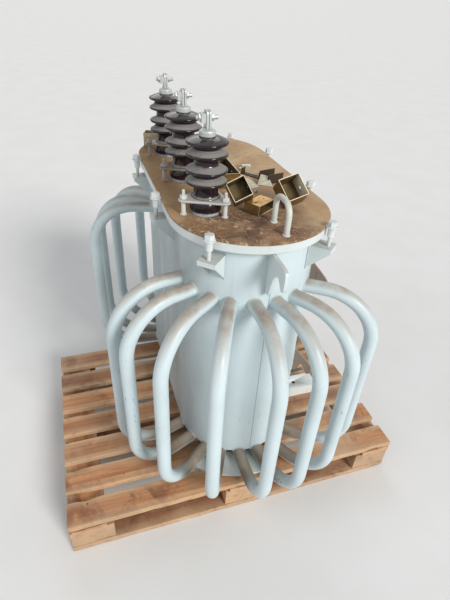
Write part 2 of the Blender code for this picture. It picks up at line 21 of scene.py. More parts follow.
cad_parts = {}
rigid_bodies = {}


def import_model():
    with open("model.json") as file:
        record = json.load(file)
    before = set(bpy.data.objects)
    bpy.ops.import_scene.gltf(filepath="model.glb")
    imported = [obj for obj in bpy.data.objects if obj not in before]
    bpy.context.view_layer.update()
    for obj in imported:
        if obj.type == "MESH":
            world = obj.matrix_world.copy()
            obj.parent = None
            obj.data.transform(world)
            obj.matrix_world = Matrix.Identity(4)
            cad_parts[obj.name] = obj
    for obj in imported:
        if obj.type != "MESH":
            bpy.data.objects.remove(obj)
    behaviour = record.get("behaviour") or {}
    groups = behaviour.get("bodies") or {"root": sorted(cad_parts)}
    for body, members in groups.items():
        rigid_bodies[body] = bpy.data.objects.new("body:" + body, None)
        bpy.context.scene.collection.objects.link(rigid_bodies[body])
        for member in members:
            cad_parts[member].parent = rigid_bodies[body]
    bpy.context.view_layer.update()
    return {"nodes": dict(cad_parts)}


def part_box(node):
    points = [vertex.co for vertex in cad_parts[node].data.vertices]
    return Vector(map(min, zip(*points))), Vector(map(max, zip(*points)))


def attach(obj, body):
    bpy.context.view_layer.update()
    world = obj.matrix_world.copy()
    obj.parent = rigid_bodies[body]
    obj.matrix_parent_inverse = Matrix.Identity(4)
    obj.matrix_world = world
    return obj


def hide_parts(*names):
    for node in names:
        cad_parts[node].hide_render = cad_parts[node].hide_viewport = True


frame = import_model()
LOG = logging.getLogger("transformer")
Colour = tuple[float, float, float]
Triple = tuple[float, float, float]
Point = tuple[float, float]
Piece = bpy.types.Object
Finish = bpy.types.Material
Socket = bpy.types.NodeSocket
# The small gap under and round what is laid or set on something.
SEAT = 0.0003
# A place that moves nothing.
STILL = Matrix.Identity(4)
# The whole range of a pattern's value.
ALL: Point = (0.0, 1.0)


def srgb(red: int, green: int, blue: int) -> Colour:
    """Turn a colour as seen, 0 to 255 a channel, into linear light.

    Args:
        red: the red channel.
        green: the green channel.
        blue: the blue channel.

    Returns:
        The same colour as Blender reads it.
    """
    def one(value: int) -> float:
        """One channel as linear light."""
        part = value / 255.0
        return part / 12.92 if part <= 0.04045 else ((part + 0.055) / 1.055) ** 2.4
    return one(red), one(green), one(blue)


class Side(Enum):
    """The two rounded ends of the tank."""

    NEAR = -1
    FAR = 1

    @property
    def word(self) -> str:
        """The word that the nodes of this end carry."""
        return "near" if self is Side.NEAR else "far"


class NodeTree:
    """Short calls that add nodes to a tree and wire them."""

    def __init__(self, tree: bpy.types.NodeTree) -> None:
        """Work on a tree."""
        self.tree = tree

    def feed(self, socket: Socket, value: object) -> None:
        """Link a socket, or set its value where the value is a number or a colour.

        Args:
            socket: the input.
            value: a socket, a number, a colour or a text.
        """
        if isinstance(value, bpy.types.NodeSocket):
            self.tree.links.new(value, socket)
        elif isinstance(value, tuple) and len(value) == 3 and socket.type == "RGBA":
            socket.default_value = (*value, 1.0)
        else:
            socket.default_value = value

    def node(self, kind: str, inputs: dict[str | int, object] | None = None,
             **settings: object) -> bpy.types.Node:
        """Add a node.

        Args:
            kind: the node's type name.
            inputs: what its input sockets get, by their name or number.
            settings: properties to set on it.

        Returns:
            The new node.
        """
        made = self.tree.nodes.new(kind)
        for key, value in settings.items():
            setattr(made, key, value)
        for key, value in (inputs or {}).items():
            self.feed(made.inputs[key], value)
        return made


class Graph(NodeTree):
    """A material's node tree, with a tone that colours are laid over one by one."""

    def __init__(self, name: str, tone: object) -> None:
        """Start a material with a Principled shader.

        Args:
            name: the material's name.
            tone: the colour at the bottom.
        """
        self.material = bpy.data.materials.new(name)
        self.material.use_nodes = True
        super().__init__(self.material.node_tree)
        self.tone = tone
        self.shader = self.tree.nodes["Principled BSDF"]
        self.coords = self.node("ShaderNodeTexCoord").outputs["Object"]

    def moved(self, scale: Triple, shift: Triple = (0.0, 0.0, 0.0)) -> Socket:
        """Object coordinates, stretched and then shifted."""
        inputs = {"Vector": self.coords, "Location": shift, "Scale": scale}
        return self.node("ShaderNodeMapping", inputs).outputs["Vector"]

    def shifted(self, x: float, y: float, z: float) -> Socket:
        """Object coordinates, shifted, for a pattern of its own."""
        return self.moved((1.0, 1.0, 1.0), (x, y, z))

    def noise(self, scale: float, detail: float = 4.0, rough: float = 0.55, warp: float = 0.0,
              vector: Socket | None = None) -> Socket:
        """Noise value in Object coordinates.

        Args:
            scale: how many features a metre.
            detail: octaves.
            rough: weight of the fine octaves.
            warp: distortion.
            vector: coordinates to read in place of the plain ones.

        Returns:
            The factor socket.
        """
        inputs = {"Vector": vector or self.coords, "Scale": scale, "Detail": detail, "Roughness": rough,
                  "Distortion": warp}
        return self.node("ShaderNodeTexNoise", inputs).outputs["Fac"]

    def window(self, value: Socket, low: float, high: float, out: Point = ALL) -> Socket:
        """Map a value from low..high to out, clamped and smooth."""
        inputs = {"Value": value, "From Min": low, "From Max": high, "To Min": out[0], "To Max": out[1]}
        return self.node("ShaderNodeMapRange", inputs, interpolation_type="SMOOTHSTEP").outputs["Result"]

    def cloud(self, scale: float, low: float, high: float, detail: float = 4.0, rough: float = 0.55,
              warp: float = 0.0, out: Point = ALL, vector: Socket | None = None) -> Socket:
        """Noise that fades in between two of its values.

        Args:
            scale: how many features a metre.
            low: noise value at which out starts.
            high: noise value at which out ends.
            detail: octaves.
            rough: weight of the fine octaves.
            warp: distortion.
            out: what low and high become.
            vector: coordinates to read in place of the plain ones.

        Returns:
            The socket with the faded value.
        """
        return self.window(self.noise(scale, detail, rough, warp, vector), low, high, out)

    def spots(self, vector: Socket) -> Socket:
        """Distance to the nearest of many scattered points."""
        return self.node("ShaderNodeTexVoronoi", {"Vector": vector, "Scale": 1.0}).outputs["Distance"]

    def maths(self, operation: str, first: object, second: object = 0.0) -> Socket:
        """One step of arithmetic on two values."""
        return self.node("ShaderNodeMath", {0: first, 1: second}, operation=operation).outputs[0]

    def product(self, *values: object) -> Socket:
        """All values multiplied.

        Args:
            values: sockets or numbers.

        Returns:
            Their product.
        """
        total = values[0]
        for value in values[1:]:
            total = self.maths("MULTIPLY", total, value)
        return total

    def mix(self, share: object, below: object, above: object) -> Socket:
        """Lay one colour over another.

        Args:
            share: how much of the upper colour shows.
            below: colour under it.
            above: colour on top.

        Returns:
            The mixed colour socket.
        """
        return self.node("ShaderNodeMix", {0: share, 6: below, 7: above}, data_type="RGBA").outputs[2]

    def lay(self, colour: object, *shares: object) -> None:
        """Lay a colour over the tone.

        Args:
            colour: what comes on top.
            shares: how much of it shows, as values that are multiplied.
        """
        self.tone = self.mix(self.product(*shares), self.tone, colour)

    def upward(self, low: float, high: float) -> Socket:
        """How far a surface faces up, for what settles on it."""
        normal = self.node("ShaderNodeNewGeometry").outputs["Normal"]
        return self.window(self.node("ShaderNodeSeparateXYZ", {0: normal}).outputs["Z"], low, high)

    def along(self, axis: str) -> Socket:
        """One of the Object coordinates, X, Y or Z."""
        return self.node("ShaderNodeSeparateXYZ", {0: self.coords}).outputs[axis]

    def lines(self, scale: float, wide: float, warp: float, vector: Socket | None = None) -> Socket:
        """Thin curling lines, where a noise crosses its middle value."""
        off = self.maths("SUBTRACT", self.noise(scale, 2.0, 0.5, warp, vector), 0.5)
        return self.window(self.maths("ABSOLUTE", off), wide, 0.0)

    def attribute(self, name: str) -> Socket:
        """A value stored on the mesh."""
        return self.node("ShaderNodeAttribute", attribute_name=name).outputs["Fac"]

    def bump(self, height: Socket, depth: float, strength: float) -> None:
        """Raise the surface by a height pattern."""
        made = self.node("ShaderNodeBump", {"Strength": strength, "Distance": depth, "Height": height})
        self.feed(self.shader.inputs["Normal"], made.outputs["Normal"])

    def finish(self, rough: object, metal: object = 0.0, **more: object) -> Finish:
        """Feed the tone and the rest to the shader and hand back the material.

        Args:
            rough: roughness.
            metal: metalness.
            more: further inputs of the shader, with _ in place of spaces.

        Returns:
            The material.
        """
        inputs = {"Base Color": self.tone, "Roughness": rough, "Metallic": metal, **more}
        for key, value in inputs.items():
            self.feed(self.shader.inputs[key.replace("_", " ")], value)
        return self.material


@dataclass(frozen=True)
class OldPaint:
    """Pale grey-blue machine paint, with settled dust, streaky dirt, painted shade, scrapes and a little
    rust.

    Dust lies thick below the height low_dust. Down the left side of the tank runs a darker streaky colour,
    partly dirt and partly painted shade of that side; roots is the dirt on the upper tubes by the wall, and
    far_dirt lies past the near bushing.
    """

    name: str
    colour: Colour
    dust: float = 0.5
    scuffs: float = 0.5
    rust: float = 0.15
    low_dust: float = 0.0
    roots: float = 0.0
    grime: float = 0.0
    far_dirt: float = 0.0
    gloss: Point = (0.34, 0.52)
    low_fade: float = 0.035
    grime_x: Point = (-0.08, -0.17)
    roots_z: Point = (0.838, 0.862)
    far_y: Point = (-0.18, -0.14)
    shade: float = 0.9
    streak_colour: Colour = srgb(140, 146, 140)
    grime_colour: Colour = srgb(104, 100, 88)
    dust_colour: Colour = srgb(150, 132, 108)
    low_colour: Colour = srgb(112, 92, 68)
    roots_colour: Colour = srgb(138, 108, 82)
    far_colour: Colour = srgb(104, 78, 50)
    fleck_colour: Colour = srgb(98, 90, 80)
    scrape_colour: Colour = srgb(66, 58, 52)
    rust_colour: Colour = srgb(126, 78, 48)

    def make(self) -> Finish:
        """Build the material.

        Returns:
            The material.
        """
        g = Graph(self.name, self.colour)
        g.lay(tuple(part * self.shade for part in self.colour), g.cloud(4.0, 0.35, 0.7, 5.0))
        g.lay(self.streak_colour,
              g.cloud(1.0, 0.56, 0.8, 5.0, 0.6, 0.3, vector=g.moved((30.0, 30.0, 1.8))), 0.22)
        # Darker streaks on the tank's left side: partly dirt, partly painted shade.
        if self.grime:
            runs = g.cloud(1.0, 0.25, 0.75, 6.0, 0.55, 0.4, (0.35, 1.0), g.moved((9.0, 9.0, 1.6)))
            g.lay(self.grime_colour, g.window(g.along("X"), *self.grime_x), runs, self.grime)
        lies = g.product(g.upward(0.25, 0.95), g.cloud(9.0, 0.15, 0.7, 6.0, 0.6, out=(0.55, 1.0)))
        dusty = g.product(lies, self.dust)
        g.lay(self.dust_colour, dusty)
        if self.low_dust:
            low = g.product(g.upward(-0.5, 0.25),
                            g.window(g.along("Z"), self.low_dust, self.low_dust - self.low_fade),
                            g.cloud(14.0, 0.2, 0.6, 6.0, 0.65, out=(0.75, 1.0)))
            g.lay(self.low_colour, low, 0.92)
            dusty = g.maths("MAXIMUM", dusty, low)
        if self.roots:
            g.lay(self.roots_colour, g.upward(0.1, 0.8), g.window(g.along("Z"), *self.roots_z),
                  g.cloud(20.0, 0.3, 0.7, 6.0, 0.65), self.roots)
        if self.far_dirt:
            g.lay(self.far_colour, g.window(g.along("Y"), *self.far_y),
                  g.cloud(26.0, 0.25, 0.5, 6.0, 0.65, out=(0.6, 1.0)), self.far_dirt)
        g.lay(self.fleck_colour, g.cloud(190.0, 0.68, 0.75, 3.0, 0.6), self.scuffs, 0.35)
        g.lay(self.scrape_colour,
              g.cloud(1.0, 0.66, 0.70, 3.0, 0.6, 0.2, vector=g.moved((190.0, 190.0, 26.0))),
              g.cloud(4.0, 0.54, 0.60, 2.0), self.scuffs)
        g.lay(self.rust_colour, g.cloud(26.0, 0.66, 0.74, 8.0, 0.72, 0.6), self.rust)
        rough = g.maths("MAXIMUM", g.cloud(30.0, 0.3, 0.75, out=self.gloss), g.product(dusty, 0.85))
        g.bump(g.noise(240.0, 4.0, 0.6), 0.0005, 0.3)
        return g.finish(rough)


@dataclass(frozen=True)
class CoverDirt:
    """The top of the cover: old paint under brown dust, dried oil and rust, darkest near the eye."""

    name: str = "cover_dirt"
    clean: tuple[Colour, Colour] = (srgb(186, 158, 122), srgb(156, 125, 91))
    dirty: tuple[Colour, Colour] = (srgb(126, 94, 66), srgb(80, 55, 39))
    dirty_y: Point = (0.0, -0.15)
    dirty_x: Point = (0.30, 0.17)
    ochre_x: Point = (-0.02, -0.16)
    ochre_colour: Colour = srgb(146, 112, 74)
    dust_colour: Colour = srgb(178, 146, 112)
    stain_colour: Colour = srgb(80, 52, 36)
    rust_colour: Colour = srgb(148, 82, 46)
    curl_colour: Colour = srgb(206, 176, 146)
    speck_colour: Colour = srgb(92, 62, 42)

    def make(self) -> Finish:
        """Build the material.

        Returns:
            The material.
        """
        g = Graph(self.name, self.clean[0])
        y = g.maths("ADD", g.along("Y"), g.product(g.noise(7.0, 5.0, 0.6, 0.6), 0.36))
        x = g.maths("ADD", g.along("X"), g.product(g.noise(9.0, 4.0, 0.6, 0.4, g.shifted(2, 5, 1)), 0.16))
        near = g.product(g.window(y, *self.dirty_y), g.window(x, *self.dirty_x))
        g.lay(self.clean[1], g.cloud(5.0, 0.35, 0.7, 6.0, 0.6, 0.8))
        g.lay(g.mix(g.cloud(9.0, 0.36, 0.64, 7.0, 0.66, 0.6), *self.dirty), near)
        g.lay(self.ochre_colour, g.window(g.along("X"), *self.ochre_x), 0.6)
        dust = g.cloud(16.0, 0.48, 0.7, 7.0, 0.68, 0.4)
        g.lay(self.dust_colour, dust, 0.55)
        stain = g.cloud(11.0, 0.56, 0.66, 6.0, 0.7, 1.4, vector=g.shifted(3.1, 1.7, 0))
        g.lay(self.stain_colour, stain, g.window(near, 0.0, 1.0, (0.4, 0.85)))
        g.lay(self.rust_colour, g.cloud(24.0, 0.6, 0.7, 8.0, 0.7, 0.5, vector=g.shifted(7.7, 0, 0)), 0.75)
        curls = g.maths("MAXIMUM", g.lines(13.0, 0.010, 1.6), g.lines(19.0, 0.012, 2.2, g.shifted(5, 2, 1)))
        g.lay(self.curl_colour, curls, near, g.cloud(12.0, 0.36, 0.5, 3.0), 0.85)
        g.lay(self.speck_colour, g.cloud(260.0, 0.62, 0.7, 3.0, 0.6), 0.4)
        g.bump(g.maths("ADD", g.noise(300.0, 4.0, 0.7), g.product(dust, 0.8)), 0.0010, 0.45)
        return g.finish(g.window(stain, 0.0, 1.0, (0.85, 0.55)))


@dataclass(frozen=True)
class Glaze:
    """Dark purple-brown glaze of the insulators; dust lies on all sheds but little on the top one.

    The attribute reach holds the distance from the bushing's axis, and the rims are wiped clean
    past wiped. The foot below the height unglazed is bare and pale.
    """

    name: str = "porcelain_glaze"
    colours: tuple[Colour, Colour] = (srgb(27, 18, 24), srgb(44, 25, 27))
    top_shed: float = 1.235
    unglazed: float = 1.058
    wiped: Point = (0.0585, 0.0545)
    film: float = 0.05
    dust_colour: Colour = srgb(138, 135, 130)
    film_colour: Colour = srgb(110, 100, 100)
    bare_colour: Colour = srgb(150, 158, 162)

    def make(self) -> Finish:
        """Build the material.

        Returns:
            The material.
        """
        g = Graph(self.name, self.colours[0])
        g.lay(self.colours[1], g.cloud(30.0, 0.4, 0.7, 3.0))
        less = g.window(g.along("Z"), self.top_shed - 0.012, self.top_shed + 0.004, (1.0, 0.12))
        reach = g.maths("ADD", g.attribute("reach"), g.product(g.noise(26.0, 4.0, 0.6), 0.006))
        dust = g.product(g.upward(0.30, 0.80), g.cloud(34.0, 0.18, 0.5, 6.0, 0.7), less,
                         g.window(reach, *self.wiped))
        g.lay(self.dust_colour, dust, 0.88)
        film = g.product(g.cloud(16.0, 0.5, 0.75, 5.0, 0.6), self.film)
        g.lay(self.film_colour, film)
        rough = g.maths("MAXIMUM", g.product(dust, 0.75), g.window(film, 0.0, self.film, (0.07, 0.2)))
        bare = g.window(g.along("Z"), self.unglazed + 0.0008, self.unglazed)
        g.lay(self.bare_colour, bare)
        g.bump(g.noise(120.0, 3.0, 0.6), 0.0003, 0.2)
        return g.finish(g.maths("MAXIMUM", rough, g.product(bare, 0.7)), Specular_IOR_Level=0.38)


@dataclass(frozen=True)
class BareMetal:
    """Weathered metal of the terminals, scraps and nails."""

    name: str
    colour: Colour
    tarnish: Colour
    metal: float = 0.85
    rough: float = 0.38
    wear: float = 0.6

    def make(self) -> Finish:
        """Build the material.

        Returns:
            The material.
        """
        g = Graph(self.name, self.colour)
        patch = g.cloud(60.0, 0.4, 0.68, 6.0, 0.65, 0.4)
        dust = g.product(g.upward(0.3, 0.95), g.cloud(90.0, 0.35, 0.6))
        dull = g.maths("MAXIMUM", g.product(patch, self.wear), g.product(dust, 0.6))
        g.lay(self.tarnish, dull)
        g.bump(g.noise(500.0, 3.0, 0.6), 0.0004, 0.3)
        return g.finish(g.window(dull, 0.0, 1.0, (self.rough, 0.8)),
                        g.window(dull, 0.0, 1.0, (self.metal, 0.1)))


@dataclass(frozen=True)
class YellowSheet:
    """Yellow passivated sheet of the loose boxes: golden outside, with an olive painted shade and dirt
    inside.

    The attributes inside, pale and rim say where a face looks inward, is paler, or is an edge.
    """

    name: str = "yellow_sheet"
    gold: Colour = srgb(190, 146, 80)
    dull_gold: Colour = srgb(150, 108, 56)
    green_gold: Colour = srgb(148, 140, 84)
    upright_colour: Colour = srgb(112, 94, 60)
    inside_colour: Colour = srgb(70, 62, 36)
    pale_colour: Colour = srgb(240, 232, 202)
    dirt_colour: Colour = srgb(86, 68, 44)

    def make(self) -> Finish:
        """Build the material.

        Returns:
            The material.
        """
        g = Graph(self.name, self.gold)
        g.lay(self.dull_gold, g.cloud(20.0, 0.35, 0.65, 3.0, 0.5, 1.2))
        g.lay(self.green_gold, g.cloud(34.0, 0.56, 0.75, 4.0, 0.6, 1.0, (0.0, 0.6)))
        # Painted shade: faces that do not look up are darkened against the tops.
        g.lay(self.upright_colour, g.window(g.upward(0.3, 0.8), 0.0, 1.0, (0.75, 0.0)),
              g.cloud(30.0, 0.3, 0.6, 3.0, out=(0.7, 1.0)))
        # Painted shade: faces that look into a box are darkened to olive.
        inside = g.attribute("inside")
        g.lay(self.inside_colour, inside, 0.8)
        # Painted light: the pale colour goes on the right box's inner wall as if lit, and on the mouths' rims
        # as a painted highlight.
        bright = g.maths("MAXIMUM", g.attribute("pale"), g.product(g.attribute("rim"), 0.7))
        g.lay(self.pale_colour, bright)
        dirt = g.product(g.cloud(60.0, 0.5, 0.72, 6.0, 0.7, out=(0.0, 0.6)),
                         g.window(bright, 0.0, 1.0, (1.0, 0.4)))
        g.lay(self.dirt_colour, dirt)
        rough = g.maths("MAXIMUM", g.window(dirt, 0.0, 0.6, (0.36, 0.65)), g.product(inside, 0.6))
        metal = g.product(g.window(dirt, 0.0, 0.6, (0.6, 0.2)), g.window(inside, 0.0, 1.0, (1.0, 0.4)),
                          g.window(bright, 0.0, 1.0, (1.0, 0.15)))
        g.bump(g.noise(180.0, 3.0, 0.6), 0.0003, 0.25)
        return g.finish(rough, metal)


@dataclass(frozen=True)
class OldRubber:
    """Pale aged gasket of the bushings."""

    name: str = "seal_rubber"
    colours: tuple[Colour, Colour] = (srgb(160, 168, 172), srgb(112, 118, 120))

    def make(self) -> Finish:
        """Build the material.

        Returns:
            The material.
        """
        g = Graph(self.name, self.colours[0])
        g.lay(self.colours[1], g.cloud(60.0, 0.4, 0.7, 5.0))
        g.bump(g.noise(400.0, 3.0), 0.0005, 0.4)
        return g.finish(0.75)


@dataclass(frozen=True)
class RoughWood:
    """Rough sawn softwood; the grain runs along X or along Y, and each board has its own tone.

    The attribute tone differs from board to board, and edge is high on the worn arrises, which are paler,
    partly as wear and partly as a painted highlight.
    """

    name: str
    along_x: bool = True
    colours: tuple[Colour, Colour] = (srgb(202, 147, 102), srgb(152, 100, 66))
    fibre_colour: Colour = srgb(112, 72, 46)
    old_colour: Colour = srgb(122, 90, 68)
    pale_colour: Colour = srgb(212, 174, 136)
    stain_colour: Colour = srgb(116, 68, 46)
    speck_colour: Colour = srgb(74, 50, 38)
    grey_colour: Colour = srgb(150, 130, 112)
    dirt_colour: Colour = srgb(84, 60, 46)
    knot_colour: Colour = srgb(74, 42, 30)
    edge_colour: Colour = srgb(208, 182, 146)
    board_shift: Triple = (17.0, 31.0, 7.0)

    def stretched(self, along: float, across: float) -> Triple:
        """Scales for a pattern that is drawn out along the grain."""
        return (along, across, across) if self.along_x else (across, along, across)

    def make(self) -> Finish:
        """Build the material.

        Returns:
            The material.
        """
        g = Graph(self.name, self.colours[0])
        board = g.attribute("tone")
        shift = g.node("ShaderNodeCombineXYZ", {i: g.product(board, far)
                                                for i, far in enumerate(self.board_shift)})
        grain = g.node("ShaderNodeVectorMath", {0: g.moved(self.stretched(1.6, 34.0)), 1: shift.outputs[0]},
                       operation="ADD").outputs[0]
        rings = g.noise(1.0, 5.0, 0.6, 0.9, grain)
        fine = g.noise(5.0, 4.0, 0.65, 0.2, grain)
        g.lay(self.colours[1], g.window(rings, 0.3, 0.7))
        g.lay(self.fibre_colour, g.window(fine, 0.5, 0.75, (0.0, 0.42)))
        g.lay(self.old_colour, g.window(board, 0.1, 1.0, (0.0, 0.7)))
        g.lay(self.pale_colour, g.cloud(2.2, 0.52, 0.68, 5.0, 0.6, 0.4, (0.0, 0.55), g.shifted(8, 1, 6)))
        g.lay(self.stain_colour, g.cloud(2.8, 0.5, 0.60, 7.0, 0.66, 0.6, (0.0, 0.68), g.shifted(4, 9, 2)))
        g.lay(self.speck_colour, g.cloud(70.0, 0.64, 0.70, 4.0, 0.6, out=(0.0, 0.5)))
        g.lay(self.grey_colour, g.cloud(3.0, 0.5, 0.7, 5.0, 0.6, 0.4, (0.0, 0.4)))
        g.lay(self.dirt_colour, g.cloud(7.0, 0.52, 0.72, 6.0, 0.66, 0.6, (0.0, 0.7)))
        g.lay(self.knot_colour, g.window(g.spots(g.moved(self.stretched(2.6, 8.0))), 0.05, 0.15, (0.9, 0.0)))
        # Paler arrises: partly wear, partly a painted highlight on the board edges.
        g.lay(self.edge_colour, g.attribute("edge"), g.cloud(26.0, 0.25, 0.5, 5.0, 0.7), 0.6)
        g.bump(g.maths("ADD", rings, g.product(fine, 0.8)), 0.0016, 0.7)
        return g.finish(0.82)


PALE_BLUE = srgb(199, 213, 216)


def made(look: OldPaint | CoverDirt | Glaze | BareMetal | YellowSheet | OldRubber | RoughWood) -> Finish:
    """Have a palette's finish made when the palette is."""
    return field(default_factory=look.make)


@dataclass(frozen=True)
class Palette:
    """Every finish of the object, made once."""

    # The tank's left side is darkened with streaky dirt and painted shade.
    tank: Finish = made(OldPaint("tank_paint", PALE_BLUE, 0.35, 0.3, 0.1, grime=0.55))
    tube: Finish = made(OldPaint("tube_paint", PALE_BLUE, 0.66, 0.9, 0.12, low_dust=0.225, roots=0.6))
    rim: Finish = made(OldPaint("rim_paint", srgb(208, 215, 213), 0.3, 0.5, 0.35))
    cover: Finish = made(CoverDirt())
    bracket: Finish = made(OldPaint("bracket_paint", srgb(206, 215, 215), 0.45, 0.5, 0.35))
    # The small side plates are a darker brown: partly rust, partly painted shade.
    side_lug: Finish = made(OldPaint("brown_plate", srgb(128, 114, 100), 0.5, 0.6, 0.6))
    seam: Finish = made(OldPaint("seam_paint", srgb(150, 160, 162), 0.3, 0.6, 0.3))
    clamp: Finish = made(OldPaint("clamp_paint", srgb(212, 218, 217), 0.3, 0.6, 0.4))
    eye: Finish = made(OldPaint("eye_paint", srgb(202, 204, 195), 0.18, 0.5, 0.35))
    glaze: Finish = made(Glaze())
    seal: Finish = made(OldRubber())
    flange: Finish = made(OldPaint("flange_dirt", srgb(180, 181, 176), 0.4, 0.6, 0.5, far_dirt=0.75,
                                   dust_colour=srgb(140, 122, 98)))
    stud: Finish = made(OldPaint("stud_paint", srgb(206, 208, 202), 0.4, 0.6, 0.5, far_dirt=0.6))
    terminal: Finish = made(BareMetal("terminal_metal", srgb(192, 196, 194), srgb(150, 152, 146), 0.4, 0.45))
    sheet: Finish = made(YellowSheet())
    zinc: Finish = made(BareMetal("zinc_bits", srgb(206, 204, 188), srgb(150, 134, 92), 0.6))
    # Dark metal of the small channels among the boxes: painted shade.
    dark: Finish = made(BareMetal("dark_bits", srgb(70, 56, 44), srgb(52, 38, 28), 0.5, 0.5))
    # Nearly white paint for the rails and the curved plate, lighter than the tank: partly painted light.
    rail: Finish = made(OldPaint("rail_paint", srgb(224, 229, 225), 0.15, 0.6, 0.25))
    weld: Finish = made(OldPaint("weld_paint", srgb(184, 195, 196), 0.5, 0.5, 0.3))
    deck: Finish = made(RoughWood("deck_wood", True))
    cross: Finish = made(RoughWood("cross_wood", False))
    nail: Finish = made(BareMetal("nail_steel", srgb(110, 100, 92), srgb(92, 62, 44), 0.6, 0.5))


def put_in_scene(name: str, data: bpy.types.ID) -> Piece:
    """Make an object at the origin from a mesh, a lamp or a camera.

    Args:
        name: the object's name.
        data: what it holds.

    Returns:
        The new object.
    """
    made = bpy.data.objects.new(name, data)
    bpy.context.collection.objects.link(made)
    return made


def coat(piece: Piece, finish: Finish) -> None:
    """Give a piece one finish, in place of any other."""
    piece.data.materials.clear()
    piece.data.materials.append(finish)


def basis(x: Sequence[float], y: Sequence[float], z: Sequence[float], origin: Sequence[float]) -> Matrix:
    """The place whose axes and origin are given."""
    rows = [(x[i], y[i], z[i], origin[i]) for i in range(3)]
    return Matrix((*rows, (0.0, 0.0, 0.0, 1.0)))


def facing(point: Vector, outward: Vector) -> Matrix:
    """The place at a point whose X points outward and whose Z stays up."""
    out = Vector((outward.x, outward.y, 0.0)).normalized()
    return basis(out, (-out.y, out.x, 0.0), (0.0, 0.0, 1.0), point)


def on_circle(radius: float, degrees: float) -> Point:
    """The point at a radius and an angle."""
    turn = math.radians(degrees)
    return radius * math.cos(turn), radius * math.sin(turn)


def arc(centre: Point, radius: float, start: float, stop: float, steps: int) -> list[Point]:
    """Points on an arc, angles in degrees."""
    points = [on_circle(radius, start + (stop - start) * i / steps) for i in range(steps + 1)]
    return [(centre[0] + x, centre[1] + y) for x, y in points]


def softened(outline: Sequence[Point], share: float) -> list[Point]:
    """Cut the corners of an outline twice, apart from its first and last point.

    Args:
        outline: points in order.
        share: how much of each side a cut takes.

    Returns:
        The outline with its corners cut.
    """
    points = list(outline)
    for _ in range(2):
        out = [points[0]]
        for before, here, after in zip(points, points[1:], points[2:]):
            for other in (before, after):
                out.append((here[0] + (other[0] - here[0]) * share, here[1] + (other[1] - here[1]) * share))
        points = out + [points[-1]]
    return points


